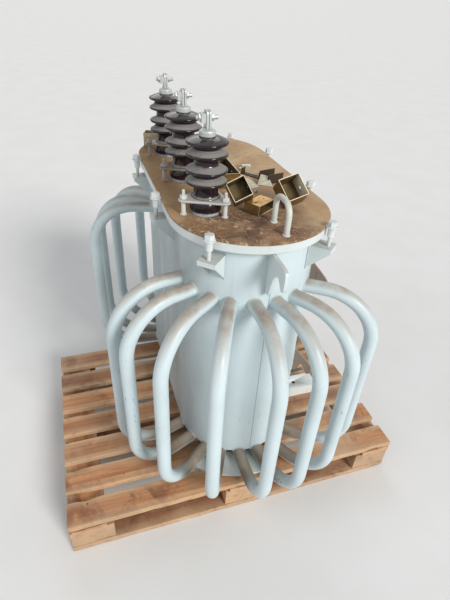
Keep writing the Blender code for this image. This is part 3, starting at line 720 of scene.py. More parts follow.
class Form:
    """A mesh in the making, to which simple shapes are added."""

    def __init__(self) -> None:
        """Start with nothing."""
        self.bm = bmesh.new()

    def prism(self, outline: Sequence[Point], z0: float, z1: float, place: Matrix = STILL,
              bevel: float = 0.0) -> None:
        """Stand an outline up between two heights, with softened edges.

        Args:
            outline: closed outline in plan.
            z0: lower height.
            z1: upper height.
            place: where it goes.
            bevel: width of the softened edge.
        """
        low = [self.bm.verts.new((x, y, z0)) for x, y in outline]
        high = [self.bm.verts.new((x, y, z1)) for x, y in outline]
        faces = [self.bm.faces.new(list(reversed(low))), self.bm.faces.new(high)]
        count = len(outline)
        for i in range(count):
            j = (i + 1) % count
            faces.append(self.bm.faces.new((low[i], low[j], high[j], high[i])))
        verts = low + high
        if bevel > 0.0:
            sharp = math.radians(28.0)
            edges = {e for f in faces for e in f.edges if e.calc_face_angle(0.0) > sharp}
            out = bmesh.ops.bevel(self.bm, geom=list(edges), offset=bevel, segments=2, affect="EDGES",
                                  clamp_overlap=True, profile=0.5)
            verts = list({v for v in verts if v.is_valid} | {v for f in out["faces"] for v in f.verts})
        bmesh.ops.transform(self.bm, matrix=place, verts=verts)

    def block(self, low: Sequence[float], high: Sequence[float], place: Matrix = STILL,
              bevel: float = 0.001) -> None:
        """Add a box given by two corners, with softened edges."""
        outline = [(low[0], low[1]), (high[0], low[1]), (high[0], high[1]), (low[0], high[1])]
        self.prism(outline, low[2], high[2], place, bevel)

    def upright(self, outline: Sequence[Point], thick: float, place: Matrix, middle: float = 0.0,
                bevel: float = 0.001) -> None:
        """Add a plate that stands in the local XZ plane, from its outline of X and Z."""
        flat = basis((1, 0, 0), (0, 0, 1), (0, -1, 0), (0, middle, 0))
        self.prism(outline, -thick / 2, thick / 2, place @ flat, bevel)

    def band(self, rings: Sequence[tuple[Sequence[Point], float]], place: Matrix = STILL) -> None:
        """Join outlines into a closed band that goes round like a frame.

        Args:
            rings: outline and height of every edge, in order round the band's section.
            place: where it goes.
        """
        loops = [[self.bm.verts.new(place @ Vector((x, y, z))) for x, y in ring] for ring, z in rings]
        for loop, other in zip(loops, loops[1:] + loops[:1]):
            for i in range(len(loop)):
                j = (i + 1) % len(loop)
                self.bm.faces.new((loop[i], loop[j], other[j], other[i]))

    def turned(self, profile: Sequence[Point], sides: int, place: Matrix = STILL, across: int = 0) -> None:
        """Turn a profile of radius and height round Z.

        Args:
            profile: radius and height from one end to the other; ends on the axis close it.
            sides: faces round.
            place: where it goes.
            across: six for a hexagon, whose flats are cut from the round, else zero.
        """
        rings = []
        for radius, z in profile:
            if radius < 1e-7:
                rings.append([self.bm.verts.new(place @ Vector((0, 0, z)))])
                continue
            ring = []
            for i in range(sides):
                ang = math.tau * i / sides
                reach = radius
                if across:
                    part = math.pi / across
                    reach = radius * math.cos(part) / math.cos((ang + part) % (2 * part) - part)
                spot = Vector((reach * math.cos(ang), reach * math.sin(ang), z))
                ring.append(self.bm.verts.new(place @ spot))
            rings.append(ring)
        for a, b in zip(rings, rings[1:]):
            for i in range(sides):
                j = (i + 1) % sides
                face = list(dict.fromkeys((a[i % len(a)], a[j % len(a)], b[j % len(b)], b[i % len(b)])))
                if len(face) > 2:
                    self.bm.faces.new(face)

    def piece(self, name: str, smooth: float | None = 35.0) -> Piece:
        """End the form and make it an object with outward faces.

        Args:
            name: the piece's name.
            smooth: edges flatter than this many degrees are shaded smooth; None leaves all flat.

        Returns:
            The new object, at the origin.
        """
        bmesh.ops.remove_doubles(self.bm, verts=self.bm.verts, dist=1e-6)
        bmesh.ops.recalc_face_normals(self.bm, faces=self.bm.faces)
        if smooth is not None:
            limit = math.radians(smooth)
            for face in self.bm.faces:
                face.smooth = True
            for edge in self.bm.edges:
                edge.smooth = len(edge.link_faces) == 2 and edge.calc_face_angle(0.0) < limit
        mesh = bpy.data.meshes.new(name)
        self.bm.to_mesh(mesh)
        self.bm.free()
        return put_in_scene(name, mesh)


@dataclass(frozen=True)
class Hexagon:
    """A nut or a bolt's head: six flats, with the corners turned down above and below."""

    high: float
    across: float = 0.017
    bore: float = 0.004
    edges: Point = (0.0012, 0.0012)
    crown: Point = (0.9, 0.9)
    sides: int = 24

    def add(self, form: Form, low: float, place: Matrix = STILL) -> None:
        """Add it round Z, with its lower face at a height.

        Args:
            form: what it is added to.
            low: height of its lower face.
            place: where it goes.
        """
        corner = self.across / math.sqrt(3.0)
        top = low + self.high
        profile = [(self.bore, low), (corner * self.crown[0], low), (corner, low + self.edges[0]),
                   (corner, top - self.edges[1]), (corner * self.crown[1], top), (self.bore, top)]
        form.turned(profile, self.sides, place, 6)


class NodeTool(NodeTree):
    """A Geometry Nodes tree that is applied to a mesh and leaves a plain one."""

    def __init__(self, name: str, sizes: dict[str, tuple[str, object]]) -> None:
        """Start the tree with a geometry input, a material input and named sizes.

        Args:
            name: the tree's name.
            sizes: for each named input, the end of its socket type and its default value.
        """
        super().__init__(bpy.data.node_groups.new(name, "GeometryNodeTree"))
        face = self.tree.interface
        face.new_socket("Geometry", in_out="OUTPUT", socket_type="NodeSocketGeometry")
        face.new_socket("Geometry", in_out="INPUT", socket_type="NodeSocketGeometry")
        self.ids: dict[str, str] = {}
        for key, (kind, value) in {**sizes, "Material": ("Material", None)}.items():
            socket = face.new_socket(key, in_out="INPUT", socket_type="NodeSocket" + kind)
            if value is not None:
                socket.default_value = value
            self.ids[key] = socket.identifier
        self.start = self.node("NodeGroupInput")
        self.stop = self.node("NodeGroupOutput")

    def size(self, name: str) -> Socket:
        """The socket of a named input."""
        return self.start.outputs[name]

    def uneven(self, least: object, most: object, inputs: dict[str, object]) -> Socket:
        """A random number for each element, from least to most.

        Args:
            least: smallest value.
            most: largest value.
            inputs: further inputs of the node.

        Returns:
            The socket with the number.
        """
        values = {2: least, 3: most, "Seed": self.size("Seed"), **inputs}
        return self.node("FunctionNodeRandomValue", values, data_type="FLOAT").outputs[1]

    def lines(self) -> Socket:
        """The source's edges as curves."""
        return self.node("GeometryNodeMeshToCurve", {0: self.size("Geometry")}).outputs[0]

    def sweep(self, curve: Socket, radius: str, **more: object) -> None:
        """Sweep a round along a curve and end the tree.

        Args:
            curve: the path.
            radius: name of the input with the round's radius.
            more: further inputs of the sweep.
        """
        ring = self.node("GeometryNodeCurvePrimitiveCircle", {"Resolution": self.size("Sides"),
                                                              "Radius": self.size(radius)})
        inputs = {"Curve": curve, "Profile Curve": ring.outputs[0], "Fill Caps": True, **more}
        self.close(self.node("GeometryNodeCurveToMesh", inputs).outputs[0])

    def close(self, geometry: Socket) -> None:
        """End the tree: realise what is instanced, shade it smooth and give it its material.

        Args:
            geometry: what the tree has made.
        """
        real = self.node("GeometryNodeRealizeInstances", {0: geometry})
        shade = self.node("GeometryNodeSetShadeSmooth", {"Geometry": real.outputs[0], "Shade Smooth": True})
        coat = self.node("GeometryNodeSetMaterial", {"Geometry": shade.outputs[0],
                                                     "Material": self.size("Material")})
        self.feed(self.stop.inputs[0], coat.outputs[0])

    def run(self, name: str, source: bpy.types.Mesh, finish: Finish, **sizes: object) -> Piece:
        """Apply the tree to a mesh.

        Args:
            name: the new piece's name.
            source: the mesh it starts from; it is removed.
            finish: the material.
            sizes: values for the named inputs, with _ in place of spaces.

        Returns:
            A plain mesh object at the origin, with no modifier left.
        """
        holder = put_in_scene(name, source)
        mod = holder.modifiers.new("shape", "NODES")
        mod.node_group = self.tree
        for key, value in {**sizes, "Material": finish}.items():
            mod[self.ids[key.replace("_", " ")]] = value
        graph = bpy.context.evaluated_depsgraph_get()
        mesh = bpy.data.meshes.new_from_object(holder.evaluated_get(graph))
        holder.modifiers.clear()
        bpy.data.objects.remove(holder, do_unlink=True)
        bpy.data.meshes.remove(source)
        mesh.name = name
        return put_in_scene(name, mesh)


def line_mesh(paths: Iterable[Sequence[Vector]], closed: bool = False) -> bpy.types.Mesh:
    """A mesh of loose lines, one for each path.

    Args:
        paths: points of every line.
        closed: whether each line meets its own start.

    Returns:
        The mesh, with edges and no faces.
    """
    verts: list[Vector] = []
    edges: list[tuple[int, int]] = []
    for path in paths:
        base = len(verts)
        verts.extend(path)
        edges.extend((base + i, base + i + 1) for i in range(len(path) - 1))
        if closed:
            edges.append((base + len(path) - 1, base))
    mesh = bpy.data.meshes.new("path")
    mesh.from_pydata([tuple(v) for v in verts], edges, [])
    return mesh


def pipe_tool() -> NodeTool:
    """Tree that bends a corner path and sweeps a pipe along it.

    Returns:
        The finished tree.
    """
    tool = NodeTool("bent_pipe", {
        "Pipe radius": ("Float", 0.02),
        "First bend": ("Float", 0.1),
        "Second bend": ("Float", 0.1),
        "Bend steps": ("Int", 14),
        "Sides": ("Int", 24),
    })
    index = tool.node("GeometryNodeInputIndex").outputs[0]
    first = tool.node("FunctionNodeCompare", {2: index, 3: 1}, data_type="INT", operation="EQUAL")
    bend = tool.node("GeometryNodeSwitch", {"Switch": first.outputs[0], "False": tool.size("Second bend"),
                                            "True": tool.size("First bend")}, input_type="FLOAT")
    fillet = tool.node("GeometryNodeFilletCurve", {"Curve": tool.lines(), "Count": tool.size("Bend steps"),
                                                   "Radius": bend.outputs[0]}, mode="POLY")
    tool.sweep(fillet.outputs[0], "Pipe radius")
    return tool


def weld_tool() -> NodeTool:
    """Tree that lays a rippled weld bead along each path.

    Returns:
        The finished tree.
    """
    tool = NodeTool("weld_bead", {
        "Bead radius": ("Float", 0.003),
        "Ripple pitch": ("Float", 0.0026),
        "Least ripple": ("Float", 0.72),
        "Most ripple": ("Float", 1.18),
        "Sides": ("Int", 7),
        "Seed": ("Int", 4),
    })
    inputs = {"Curve": tool.lines(), "Length": tool.size("Ripple pitch")}
    even = tool.node("GeometryNodeResampleCurve", inputs, mode="LENGTH")
    index = tool.node("GeometryNodeInputIndex").outputs[0]
    ripple = tool.uneven(tool.size("Least ripple"), tool.size("Most ripple"), {"ID": index})
    tool.sweep(even.outputs[0], "Bead radius", Scale=ripple)
    return tool


def scatter_tool() -> NodeTool:
    """Tree that sets a copy of one small piece on every point, turned by a stored angle.

    Returns:
        The finished tree.
    """
    tool = NodeTool("set_on_points", {
        "Piece": ("Object", None),
        "Least size": ("Float", 1.0),
        "Most size": ("Float", 1.0),
        "Seed": ("Int", 9),
    })
    piece = tool.node("GeometryNodeObjectInfo", {"Object": tool.size("Piece")}).outputs["Geometry"]
    angle = tool.node("GeometryNodeInputNamedAttribute", {"Name": "turn"}, data_type="FLOAT").outputs[0]
    turn = tool.node("ShaderNodeCombineXYZ", {2: angle}).outputs[0]
    inputs = {"Points": tool.size("Geometry"), "Instance": piece, "Rotation": turn,
              "Scale": tool.uneven(tool.size("Least size"), tool.size("Most size"), {})}
    tool.close(tool.node("GeometryNodeInstanceOnPoints", inputs).outputs[0])
    return tool


@dataclass
class Tools:
    """The Geometry Nodes trees, made once."""

    pipe: NodeTool = field(default_factory=pipe_tool)
    weld: NodeTool = field(default_factory=weld_tool)
    scatter: NodeTool = field(default_factory=scatter_tool)

    def set_on(self, name: str, piece: Piece, spots: Sequence[tuple[Vector, float]], finish: Finish,
               least: float = 1.0, most: float = 1.0) -> Piece:
        """Set a piece on each spot and remove the loose one.

        Args:
            name: the new piece's name.
            piece: what is repeated.
            spots: places and angles round Z.
            finish: the material.
            least: smallest size.
            most: largest size.

        Returns:
            One mesh with every copy.
        """
        mesh = bpy.data.meshes.new("spots")
        mesh.from_pydata([tuple(p) for p, _ in spots], [], [])
        turn = mesh.attributes.new("turn", "FLOAT", "POINT")
        turn.data.foreach_set("value", [t for _, t in spots])
        made = self.scatter.run(name, mesh, finish, Piece=piece, Least_size=least, Most_size=most)
        bpy.data.objects.remove(piece, do_unlink=True)
        return made


@dataclass
class Plan:
    """The tank's plan and heights, read from the frame."""

    axis_x: float
    radius: float
    half: float
    cover_radius: float
    floor_z: float
    wall_low: float
    wall_top: float
    cover_low: float
    top: float
    deck: float

    @staticmethod
    def read() -> "Plan":
        """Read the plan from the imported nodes.

        Returns:
            The plan.
        """
        low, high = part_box("tank_floor")
        cover_low, cover_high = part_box("cover")
        wall_low, wall_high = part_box("tank_wall")
        radius = (high[0] - low[0]) / 2
        return Plan(axis_x=(low[0] + high[0]) / 2, radius=radius, half=(high[1] - low[1]) / 2 - radius,
                    cover_radius=(cover_high[0] - cover_low[0]) / 2, floor_z=low[2],
                    wall_low=wall_low[2], wall_top=wall_high[2], cover_low=cover_low[2],
                    top=cover_high[2], deck=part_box("pallet_deck")[1][2])

    def outline(self, radius: float, steps: int = 48) -> list[Point]:
        """The oval at a radius of its ends.

        Args:
            radius: radius of the ends.
            steps: points for each end, less one.

        Returns:
            Points in plan, counter-clockwise.
        """
        points = []
        for sign, start in ((1, 0.0), (-1, 180.0)):
            points.extend(arc((self.axis_x, sign * self.half), radius, start, start + 180.0, steps))
        return points

    def at(self, side: Side, angle: float, radius: float, z: float = 0.0) -> Vector:
        """A point at an angle and radius round one end; 0 degrees looks along the tank.

        Args:
            side: which end.
            angle: angle from the tank's long way, in degrees.
            radius: distance from the end's middle.
            z: height.

        Returns:
            The point.
        """
        ang = math.radians(angle)
        return Vector((self.axis_x + radius * math.sin(ang),
                       side.value * (self.half + radius * math.cos(ang)), z))

    def spine(self, point: Vector) -> float:
        """Distance in plan from the line that joins the middles of the two round ends."""
        return math.hypot(point.x - self.axis_x, max(0.0, abs(point.y) - self.half))

    def outward(self, side: Side, angle: float) -> Vector:
        """Direction out of one rounded end."""
        return (self.at(side, angle, 1.0) - self.at(side, angle, 0.0)).normalized()

    def on_wall(self, side: Side, angle: float) -> Matrix:
        """The place on the wall of an end whose X points out of it."""
        return facing(self.at(side, angle, self.radius), self.outward(side, angle))

    def on_cover(self, x: float, y: float, turn: float = 0.0) -> Matrix:
        """A place on the cover, x across from the tank's middle, turned about Z in radians."""
        return (Matrix.Translation((self.axis_x + x, y, self.top + SEAT))
                @ Matrix.Rotation(turn, 4, "Z"))


@dataclass
class SubAssembly(ABC):
    """What every sub-assembly works with, and how it hands over its pieces."""

    plan: Plan
    tools: Tools
    palette: Palette

    @abstractmethod
    def build(self) -> None:
        """Make and dress every piece."""

    def dress(self, piece: Piece, finish: Finish, slot: str, *nodes: str) -> None:
        """Give a piece its finish and let it ride on the body.

        Args:
            piece: the new piece.
            finish: its material.
            slot: the record's material slot; not used.
            nodes: nodes of the part that it stands for.
        """
        coat(piece, finish)
        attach(piece, "root")
        if nodes:
            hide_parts(*nodes)
        LOG.info("%s: %d faces", piece.name, len(piece.data.polygons))


# Angle of each tube round its end, and how much it turns from there, in degrees.
NEAR_FAN: tuple[Point, ...] = ((-86.5, 10.9), (-65.5, -4.1), (-45.5, -6.8), (-30.1, 5.0), (-10.9, 10.2),
                               (7.0, 6.0), (25.4, 4.3), (45.8, 6.8))
FAR_FAN: tuple[Point, ...] = ((-81.6, 0.0), (-66.3, 0.0), (-48.0, 0.0)) + NEAR_FAN[3:]


@dataclass
class TubeFan(SubAssembly):
    """The bent cooling tubes of one rounded end; heights are above the deck."""

    side: Side
    fan: tuple[Point, ...]
    pipe_radius: float = 0.0211
    reach: float = 0.2249
    top: float = 0.6975
    top_corner: float = 0.7063
    top_bend: float = 0.1582
    low: float = 0.0387
    low_corner: float = 0.0228
    low_bend: float = 0.1463
    inset: float = 0.008
    bead: float = 0.0030
    bend_steps: int = 20
    pipe_sides: int = 32
    ring_steps: int = 24
    settle_steps: int = 6

    def heading(self, angle: float, turn: float) -> tuple[Vector, Vector]:
        """Where a tube leaves the wall, and the level direction in which it runs."""
        return self.plan.at(self.side, angle, self.plan.radius), self.plan.outward(self.side, angle + turn)

    def path(self, angle: float, turn: float) -> list[Vector]:
        """Corner path of one tube, from the upper weld to the lower one.

        Args:
            angle: place of the tube round its end.
            turn: how much it turns there.

        Returns:
            The four corners.
        """
        start, out = self.heading(angle, turn)
        rise = (self.top_corner - self.top) / self.reach * self.inset
        fall = (self.low - self.low_corner) / self.reach * self.inset
        corners = ((-self.inset, self.top - rise), (self.reach, self.top_corner),
                   (self.reach, self.low_corner), (-self.inset, self.low + fall))
        return [start + out * r + Vector((0.0, 0.0, self.plan.deck + z)) for r, z in corners]

    def ring(self, angle: float, turn: float, z: float) -> list[Vector]:
        """Path of the weld where a tube meets the wall; below the floor it follows the floor's edge.

        Args:
            angle: place of the tube round its end.
            turn: how much it turns there.
            z: height of the tube's middle.

        Returns:
            Points round the tube, on the wall.
        """
        start, out = self.heading(angle, turn)
        across = Vector((-out.y, out.x, 0.0))
        path = []
        for i in range(self.ring_steps):
            part = math.tau * i / self.ring_steps
            high = max(z + self.pipe_radius * math.sin(part), self.plan.floor_z)
            point = start + across * (self.pipe_radius * math.cos(part)) + Vector((0.0, 0.0, high))
            for _ in range(self.settle_steps):
                point += out * (self.plan.radius - self.plan.spine(point))
            path.append(point)
        return path

    def build(self) -> None:
        """Make the tubes and their welds."""
        rings = []
        for k, (angle, turn) in enumerate(self.fan, 1):
            tube = self.tools.pipe.run(f"pipe_{self.side.word}_{k}", line_mesh([self.path(angle, turn)]),
                                       self.palette.tube, Pipe_radius=self.pipe_radius,
                                       First_bend=self.top_bend, Second_bend=self.low_bend,
                                       Bend_steps=self.bend_steps, Sides=self.pipe_sides)
            self.dress(tube, self.palette.tube, "tube_paint", f"tube_{self.side.word}_{k}")
            rings += [self.ring(angle, turn, self.plan.deck + z) for z in (self.top, self.low)]
        beads = self.tools.weld.run(f"tube_welds_{self.side.word}", line_mesh(rings, True),
                                    self.palette.weld, Bead_radius=self.bead)
        self.dress(beads, self.palette.weld, "tube_paint")


@dataclass
class Tank(SubAssembly):
    """Wall, rim, cover, clamp brackets and lifting plates.

    A plate's outline gives how far each point stands out from the wall, and how far down.
    """

    wall: float = 0.004
    wall_edge: float = 0.0006
    rim_edge: float = 0.0016
    cover_edge: float = 0.0014
    bite: float = 0.002
    bracket_drop: float = 0.050
    bracket_wide: float = 0.052
    bracket_deep: float = 0.062
    bracket_high: float = 0.074
    bracket_lip: float = 0.014
    bracket_tip: float = 0.016
    plate: float = 0.005
    plate_edge: float = 0.0010
    clamp_out: float = 0.0457
    end_angles: Point = (-43.0, 43.0)
    side_places: Point = (-0.140, 0.205)
    lug_thick: float = 0.009
    lug_edge: float = 0.0012
    lug_clear: float = 0.0015
    lug_cut: float = 0.22
    end_lug_angle: float = -3.0
    end_lug: tuple[Point, ...] = (
        (0.104, 0.0), (0.117, 0.006), (0.115, 0.058), (0.099, 0.066), (0.084, 0.046), (0.070, 0.038),
        (0.052, 0.050), (0.040, 0.080), (0.026, 0.127), (0.016, 0.130))
    side_lug_angle: float = 62.0
    side_lug: tuple[Point, ...] = (
        (0.066, 0.074), (0.069, 0.108), (0.054, 0.116), (0.041, 0.084), (0.031, 0.068), (0.023, 0.080),
        (0.020, 0.097), (0.010, 0.100))
    side_lug_tops: Point = (0.757, 0.403)
    bead: float = 0.0024
    seam_angle: float = 0.5
    seam_bead: float = 0.0014
    seam_ends: Point = (0.004, 0.030)
    seam_middle: float = 0.5
    slot: str = "tank_paint"

    def clamp_feet(self) -> list[tuple[str, Vector, Vector]]:
        """Name, foot on the wall and outward direction of each clamp.

        Returns:
            One entry for each of the eight clamps.
        """
        out = []
        for side in Side:
            for word, angle in zip(("left", "right"), self.end_angles):
                foot = self.plan.at(side, angle, self.plan.radius)
                out.append((f"{side.word}_{word}", foot, self.plan.outward(side, angle)))
        for sign, word in ((-1, "left"), (1, "right")):
            for end, y in zip(("near", "far"), self.side_places):
                foot = Vector((self.plan.axis_x + sign * self.plan.radius, y, 0.0))
                out.append((f"side_{word}_{end}", foot, Vector((sign, 0.0, 0.0))))
        return out

    def shell(self) -> None:
        """The wall as a thin shell, open above and below."""
        outer, inner, edge = self.plan.radius, self.plan.radius - self.wall, self.wall_edge
        low, top = self.plan.wall_low, self.plan.wall_top
        levels = ((outer - edge, low), (outer, low + edge), (outer, top - edge), (outer - edge, top),
                  (inner, top), (inner, low))
        form = Form()
        form.band([(self.plan.outline(radius), z) for radius, z in levels])
        self.dress(form.piece("tank_shell"), self.palette.tank, self.slot, "tank_wall")

    def brackets(self) -> None:
        """The eight clamp brackets: plate, turned-down lip and two gussets."""
        form = Form()
        top = self.plan.cover_low - self.bracket_drop
        half = self.bracket_wide / 2
        outer = self.bracket_deep - self.plate
        lip_in, lip_down = 0.0004, 0.0006
        gusset_at = half - self.plate / 2 - 0.0005
        gusset_top = top - 0.001
        gusset = [(-self.bite, gusset_top), (outer, gusset_top), (outer, top - self.bracket_tip),
                  (-self.bite, top - self.bracket_high)]
        for _, foot, out in self.clamp_feet():
            place = facing(foot, out)
            form.block((-self.bite, -half, top - self.plate), (self.bracket_deep, half, top), place,
                       self.lug_edge)
            form.block((outer, -half + lip_in, top - self.bracket_lip),
                       (self.bracket_deep - lip_in, half - lip_in, top - lip_down), place,
                       self.plate_edge)
            for middle in (-gusset_at, gusset_at):
                form.upright(gusset, self.plate, place, middle, self.plate_edge)
        self.dress(form.piece("clamp_brackets"), self.palette.bracket, self.slot)

    def lugs(self) -> list[tuple[bool, Matrix, list[Point]]]:
        """Whether it stands at an end, place and outline of every lifting plate.

        Returns:
            One entry for each of the six plates.
        """
        made = []
        rim_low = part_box("tank_rim")[0][2]
        for side in Side:
            spots = [(self.end_lug, rim_low - self.lug_clear, self.end_lug_angle)]
            spots += [(self.side_lug, self.plan.deck + top, self.side_lug_angle)
                      for top in self.side_lug_tops]
            for shape, top, angle in spots:
                outline = [(-self.bite, top)] + [(out, top - drop) for out, drop in shape]
                outline.append((-self.bite, top - shape[-1][1]))
                made.append((shape is self.end_lug, self.plan.on_wall(side, angle),
                             softened(outline, self.lug_cut)))
        return made

    def lug_plates(self, at_end: bool) -> None:
        """The lifting plates of one kind, notched below for a hook.

        Args:
            at_end: True for the large ones in the middle of the ends, False for the small ones.
        """
        form = Form()
        for is_end, place, outline in self.lugs():
            if is_end is at_end:
                form.upright(outline, self.lug_thick, place, 0.0, self.lug_edge)
        # The side plates get the darker brown paint: partly rust, partly painted shade.
        name, paint = (("end_plates", self.palette.bracket) if at_end
                       else ("side_plates", self.palette.side_lug))
        self.dress(form.piece(name), paint, self.slot)

    def welds(self) -> None:
        """Weld beads round the brackets and plates, and the wall's seam."""
        paths = []
        top = self.plan.cover_low - self.bracket_drop
        half = self.bracket_wide / 2
        for _, foot, out in self.clamp_feet():
            place = facing(foot, out)
            for y in (-half, half):
                heights = [top - share * self.bracket_high for share in (0.0, 0.5, 1.0)]
                paths.append([place @ Vector((0.0, y, z)) for z in heights])
            paths.append([place @ Vector((0.0, y, top)) for y in (-half, 0.0, half)])
        for _, place, outline in self.lugs():
            high, low = outline[0][1], outline[-1][1]
            for y in (-self.lug_thick / 2, self.lug_thick / 2):
                paths.append([place @ Vector((0.0, y, z)) for z in (high, (high + low) / 2, low)])
        beads = self.tools.weld.run("wall_welds", line_mesh(paths), self.palette.weld, Bead_radius=self.bead)
        heights = (self.plan.wall_low + self.seam_ends[0], self.seam_middle,
                   self.plan.wall_top - self.seam_ends[1])
        seam = [self.plan.at(Side.NEAR, self.seam_angle, self.plan.radius - self.wall_edge, z)
                for z in heights]
        line = self.tools.weld.run("wall_seam", line_mesh([seam]), self.palette.seam,
                                   Bead_radius=self.seam_bead)
        self.dress(beads, self.palette.weld, self.slot)
        self.dress(line, self.palette.seam, self.slot)

    def cover(self) -> None:
        """The cover plate."""
        form = Form()
        form.prism(self.plan.outline(self.plan.cover_radius), self.plan.cover_low, self.plan.top,
                   bevel=self.cover_edge)
        self.dress(form.piece("cover_plate"), self.palette.cover, "cover_paint", "cover")

    def rim(self) -> None:
        """The painted rim under the cover."""
        (left, _, low), (right, _, high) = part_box("tank_rim")
        outer, inner, edge = (right - left) / 2, self.plan.radius + SEAT, self.rim_edge
        levels = ((inner, low), (outer - edge, low), (outer, low + edge), (outer, high - edge),
                  (outer - edge, high), (inner, high))
        form = Form()
        form.band([(self.plan.outline(radius), z) for radius, z in levels])
        self.dress(form.piece("rim_band"), self.palette.rim, self.slot, "tank_rim")

    def build(self) -> None:
        """Make every piece of the tank."""
        self.shell()
        self.brackets()
        self.lug_plates(True)
        self.lug_plates(False)
        self.welds()
        self.cover()
        self.rim()
        coat(frame["nodes"]["tank_floor"], self.palette.tank)


@dataclass
class CoverClamps(SubAssembly):
    """Bolts that hold the cover down: head, washer, sleeve, threaded stud and nut."""

    tank: Tank
    head_across: float = 0.024
    head_high: float = 0.014
    washer_radius: float = 0.0165
    washer_thick: float = 0.003
    washer_edge: float = 0.0006
    sleeve_radius: float = 0.0095
    sleeve_long: float = 0.028
    sleeve_edge: float = 0.001
    stud_radius: float = 0.0055
    stud_long: float = 0.048
    stud_edge: float = 0.001
    thread: float = 0.00175
    thread_deep: float = 0.0009
    nut: Hexagon = Hexagon(0.009, bore=0.0051, edges=(0.0015, 0.0015), crown=(0.88, 0.88))

    def profile(self, top: float) -> list[Point]:
        """Radius and height of washer, sleeve and threaded stud, from the washer's top down.

        Args:
            top: height of the cover's top.

        Returns:
            The outline to turn.
        """
        seat = top + SEAT
        crown = seat + self.washer_thick
        low = seat - self.sleeve_long
        end = low - self.stud_long
        points = [(0.0, crown), (self.washer_radius - self.washer_edge, crown),
                  (self.washer_radius, crown - self.washer_edge), (self.washer_radius, seat),
                  (self.sleeve_radius + self.sleeve_edge, seat),
                  (self.sleeve_radius, seat - 2 * self.sleeve_edge),
                  (self.sleeve_radius, low + self.sleeve_edge),
                  (self.sleeve_radius - self.sleeve_edge, low), (self.stud_radius, low)]
        for i in range(int((low - end) / self.thread)):
            z = low - i * self.thread
            points.append((self.stud_radius, z - self.thread * 0.25))
            points.append((self.stud_radius - self.thread_deep, z - self.thread * 0.75))
        return points + [(self.stud_radius - self.stud_edge, end), (0.0, end)]

    def head(self, top: float) -> list[Point]:
        """Radius and height of the six-sided head, with a rounded crown.

        Args:
            top: height of the cover's top.

        Returns:
            The outline to turn.
        """
        base = top + SEAT + self.washer_thick - 0.0002
        crown = base + self.head_high
        corner = self.head_across / math.sqrt(3.0)
        return [(0.0, base), (corner, base), (corner, crown - 0.002), (corner * 0.86, crown - 0.0002),
                (corner * 0.80, crown), (0.0, crown)]

    def build(self) -> None:
        """Make one bolt for each clamp."""
        top = self.plan.top
        nut_top = self.plan.cover_low - self.tank.bracket_drop - self.tank.plate - SEAT
        for name, foot, out in self.tank.clamp_feet():
            form = Form()
            place = facing(foot + out * self.tank.clamp_out, out)
            form.turned(self.head(top), 24, place, 6)
            form.turned(self.profile(top), 20, place)
            self.nut.add(form, nut_top - self.nut.high, place)
            self.dress(form.piece(f"cover_bolt_{name}", 30.0), self.palette.clamp, "clamp_steel",
                       f"clamp_{name}")


@dataclass
class LiftingEye(SubAssembly):
    """Bent rod on the cover."""

    rod: float = 0.0078
    bend: float = 0.030
    bend_steps: int = 10
    rod_sides: int = 20
    bead: float = 0.0024
    bead_out: float = 0.001
    bead_up: float = 0.0012
    bead_steps: int = 14

    def build(self) -> None:
        """Make the rod and the welds round its feet."""
        low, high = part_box("lifting_eye")
        x = (low[0] + high[0]) / 2
        feet = (low[1] + self.rod, high[1] - self.rod)
        top = high[2] - self.rod
        corners = ((feet[0], low[2]), (feet[0], top), (feet[1], top), (feet[1], low[2]))
        path = line_mesh([[Vector((x, y, z)) for y, z in corners]])
        paint = self.palette.eye
        eye = self.tools.pipe.run("eye_rod", path, paint, Pipe_radius=self.rod, First_bend=self.bend,
                                  Second_bend=self.bend, Bend_steps=self.bend_steps, Sides=self.rod_sides)
        self.dress(eye, paint, "eye_paint", "lifting_eye")
        rings = [[Vector((*point, low[2] + self.bead_up))
                  for point in arc((x, y), self.rod + self.bead_out, 0.0, 360.0, self.bead_steps)[:-1]]
                 for y in feet]
        bead = self.tools.weld.run("eye_welds", line_mesh(rings, True), paint, Bead_radius=self.bead)
        self.dress(bead, paint, "eye_paint")


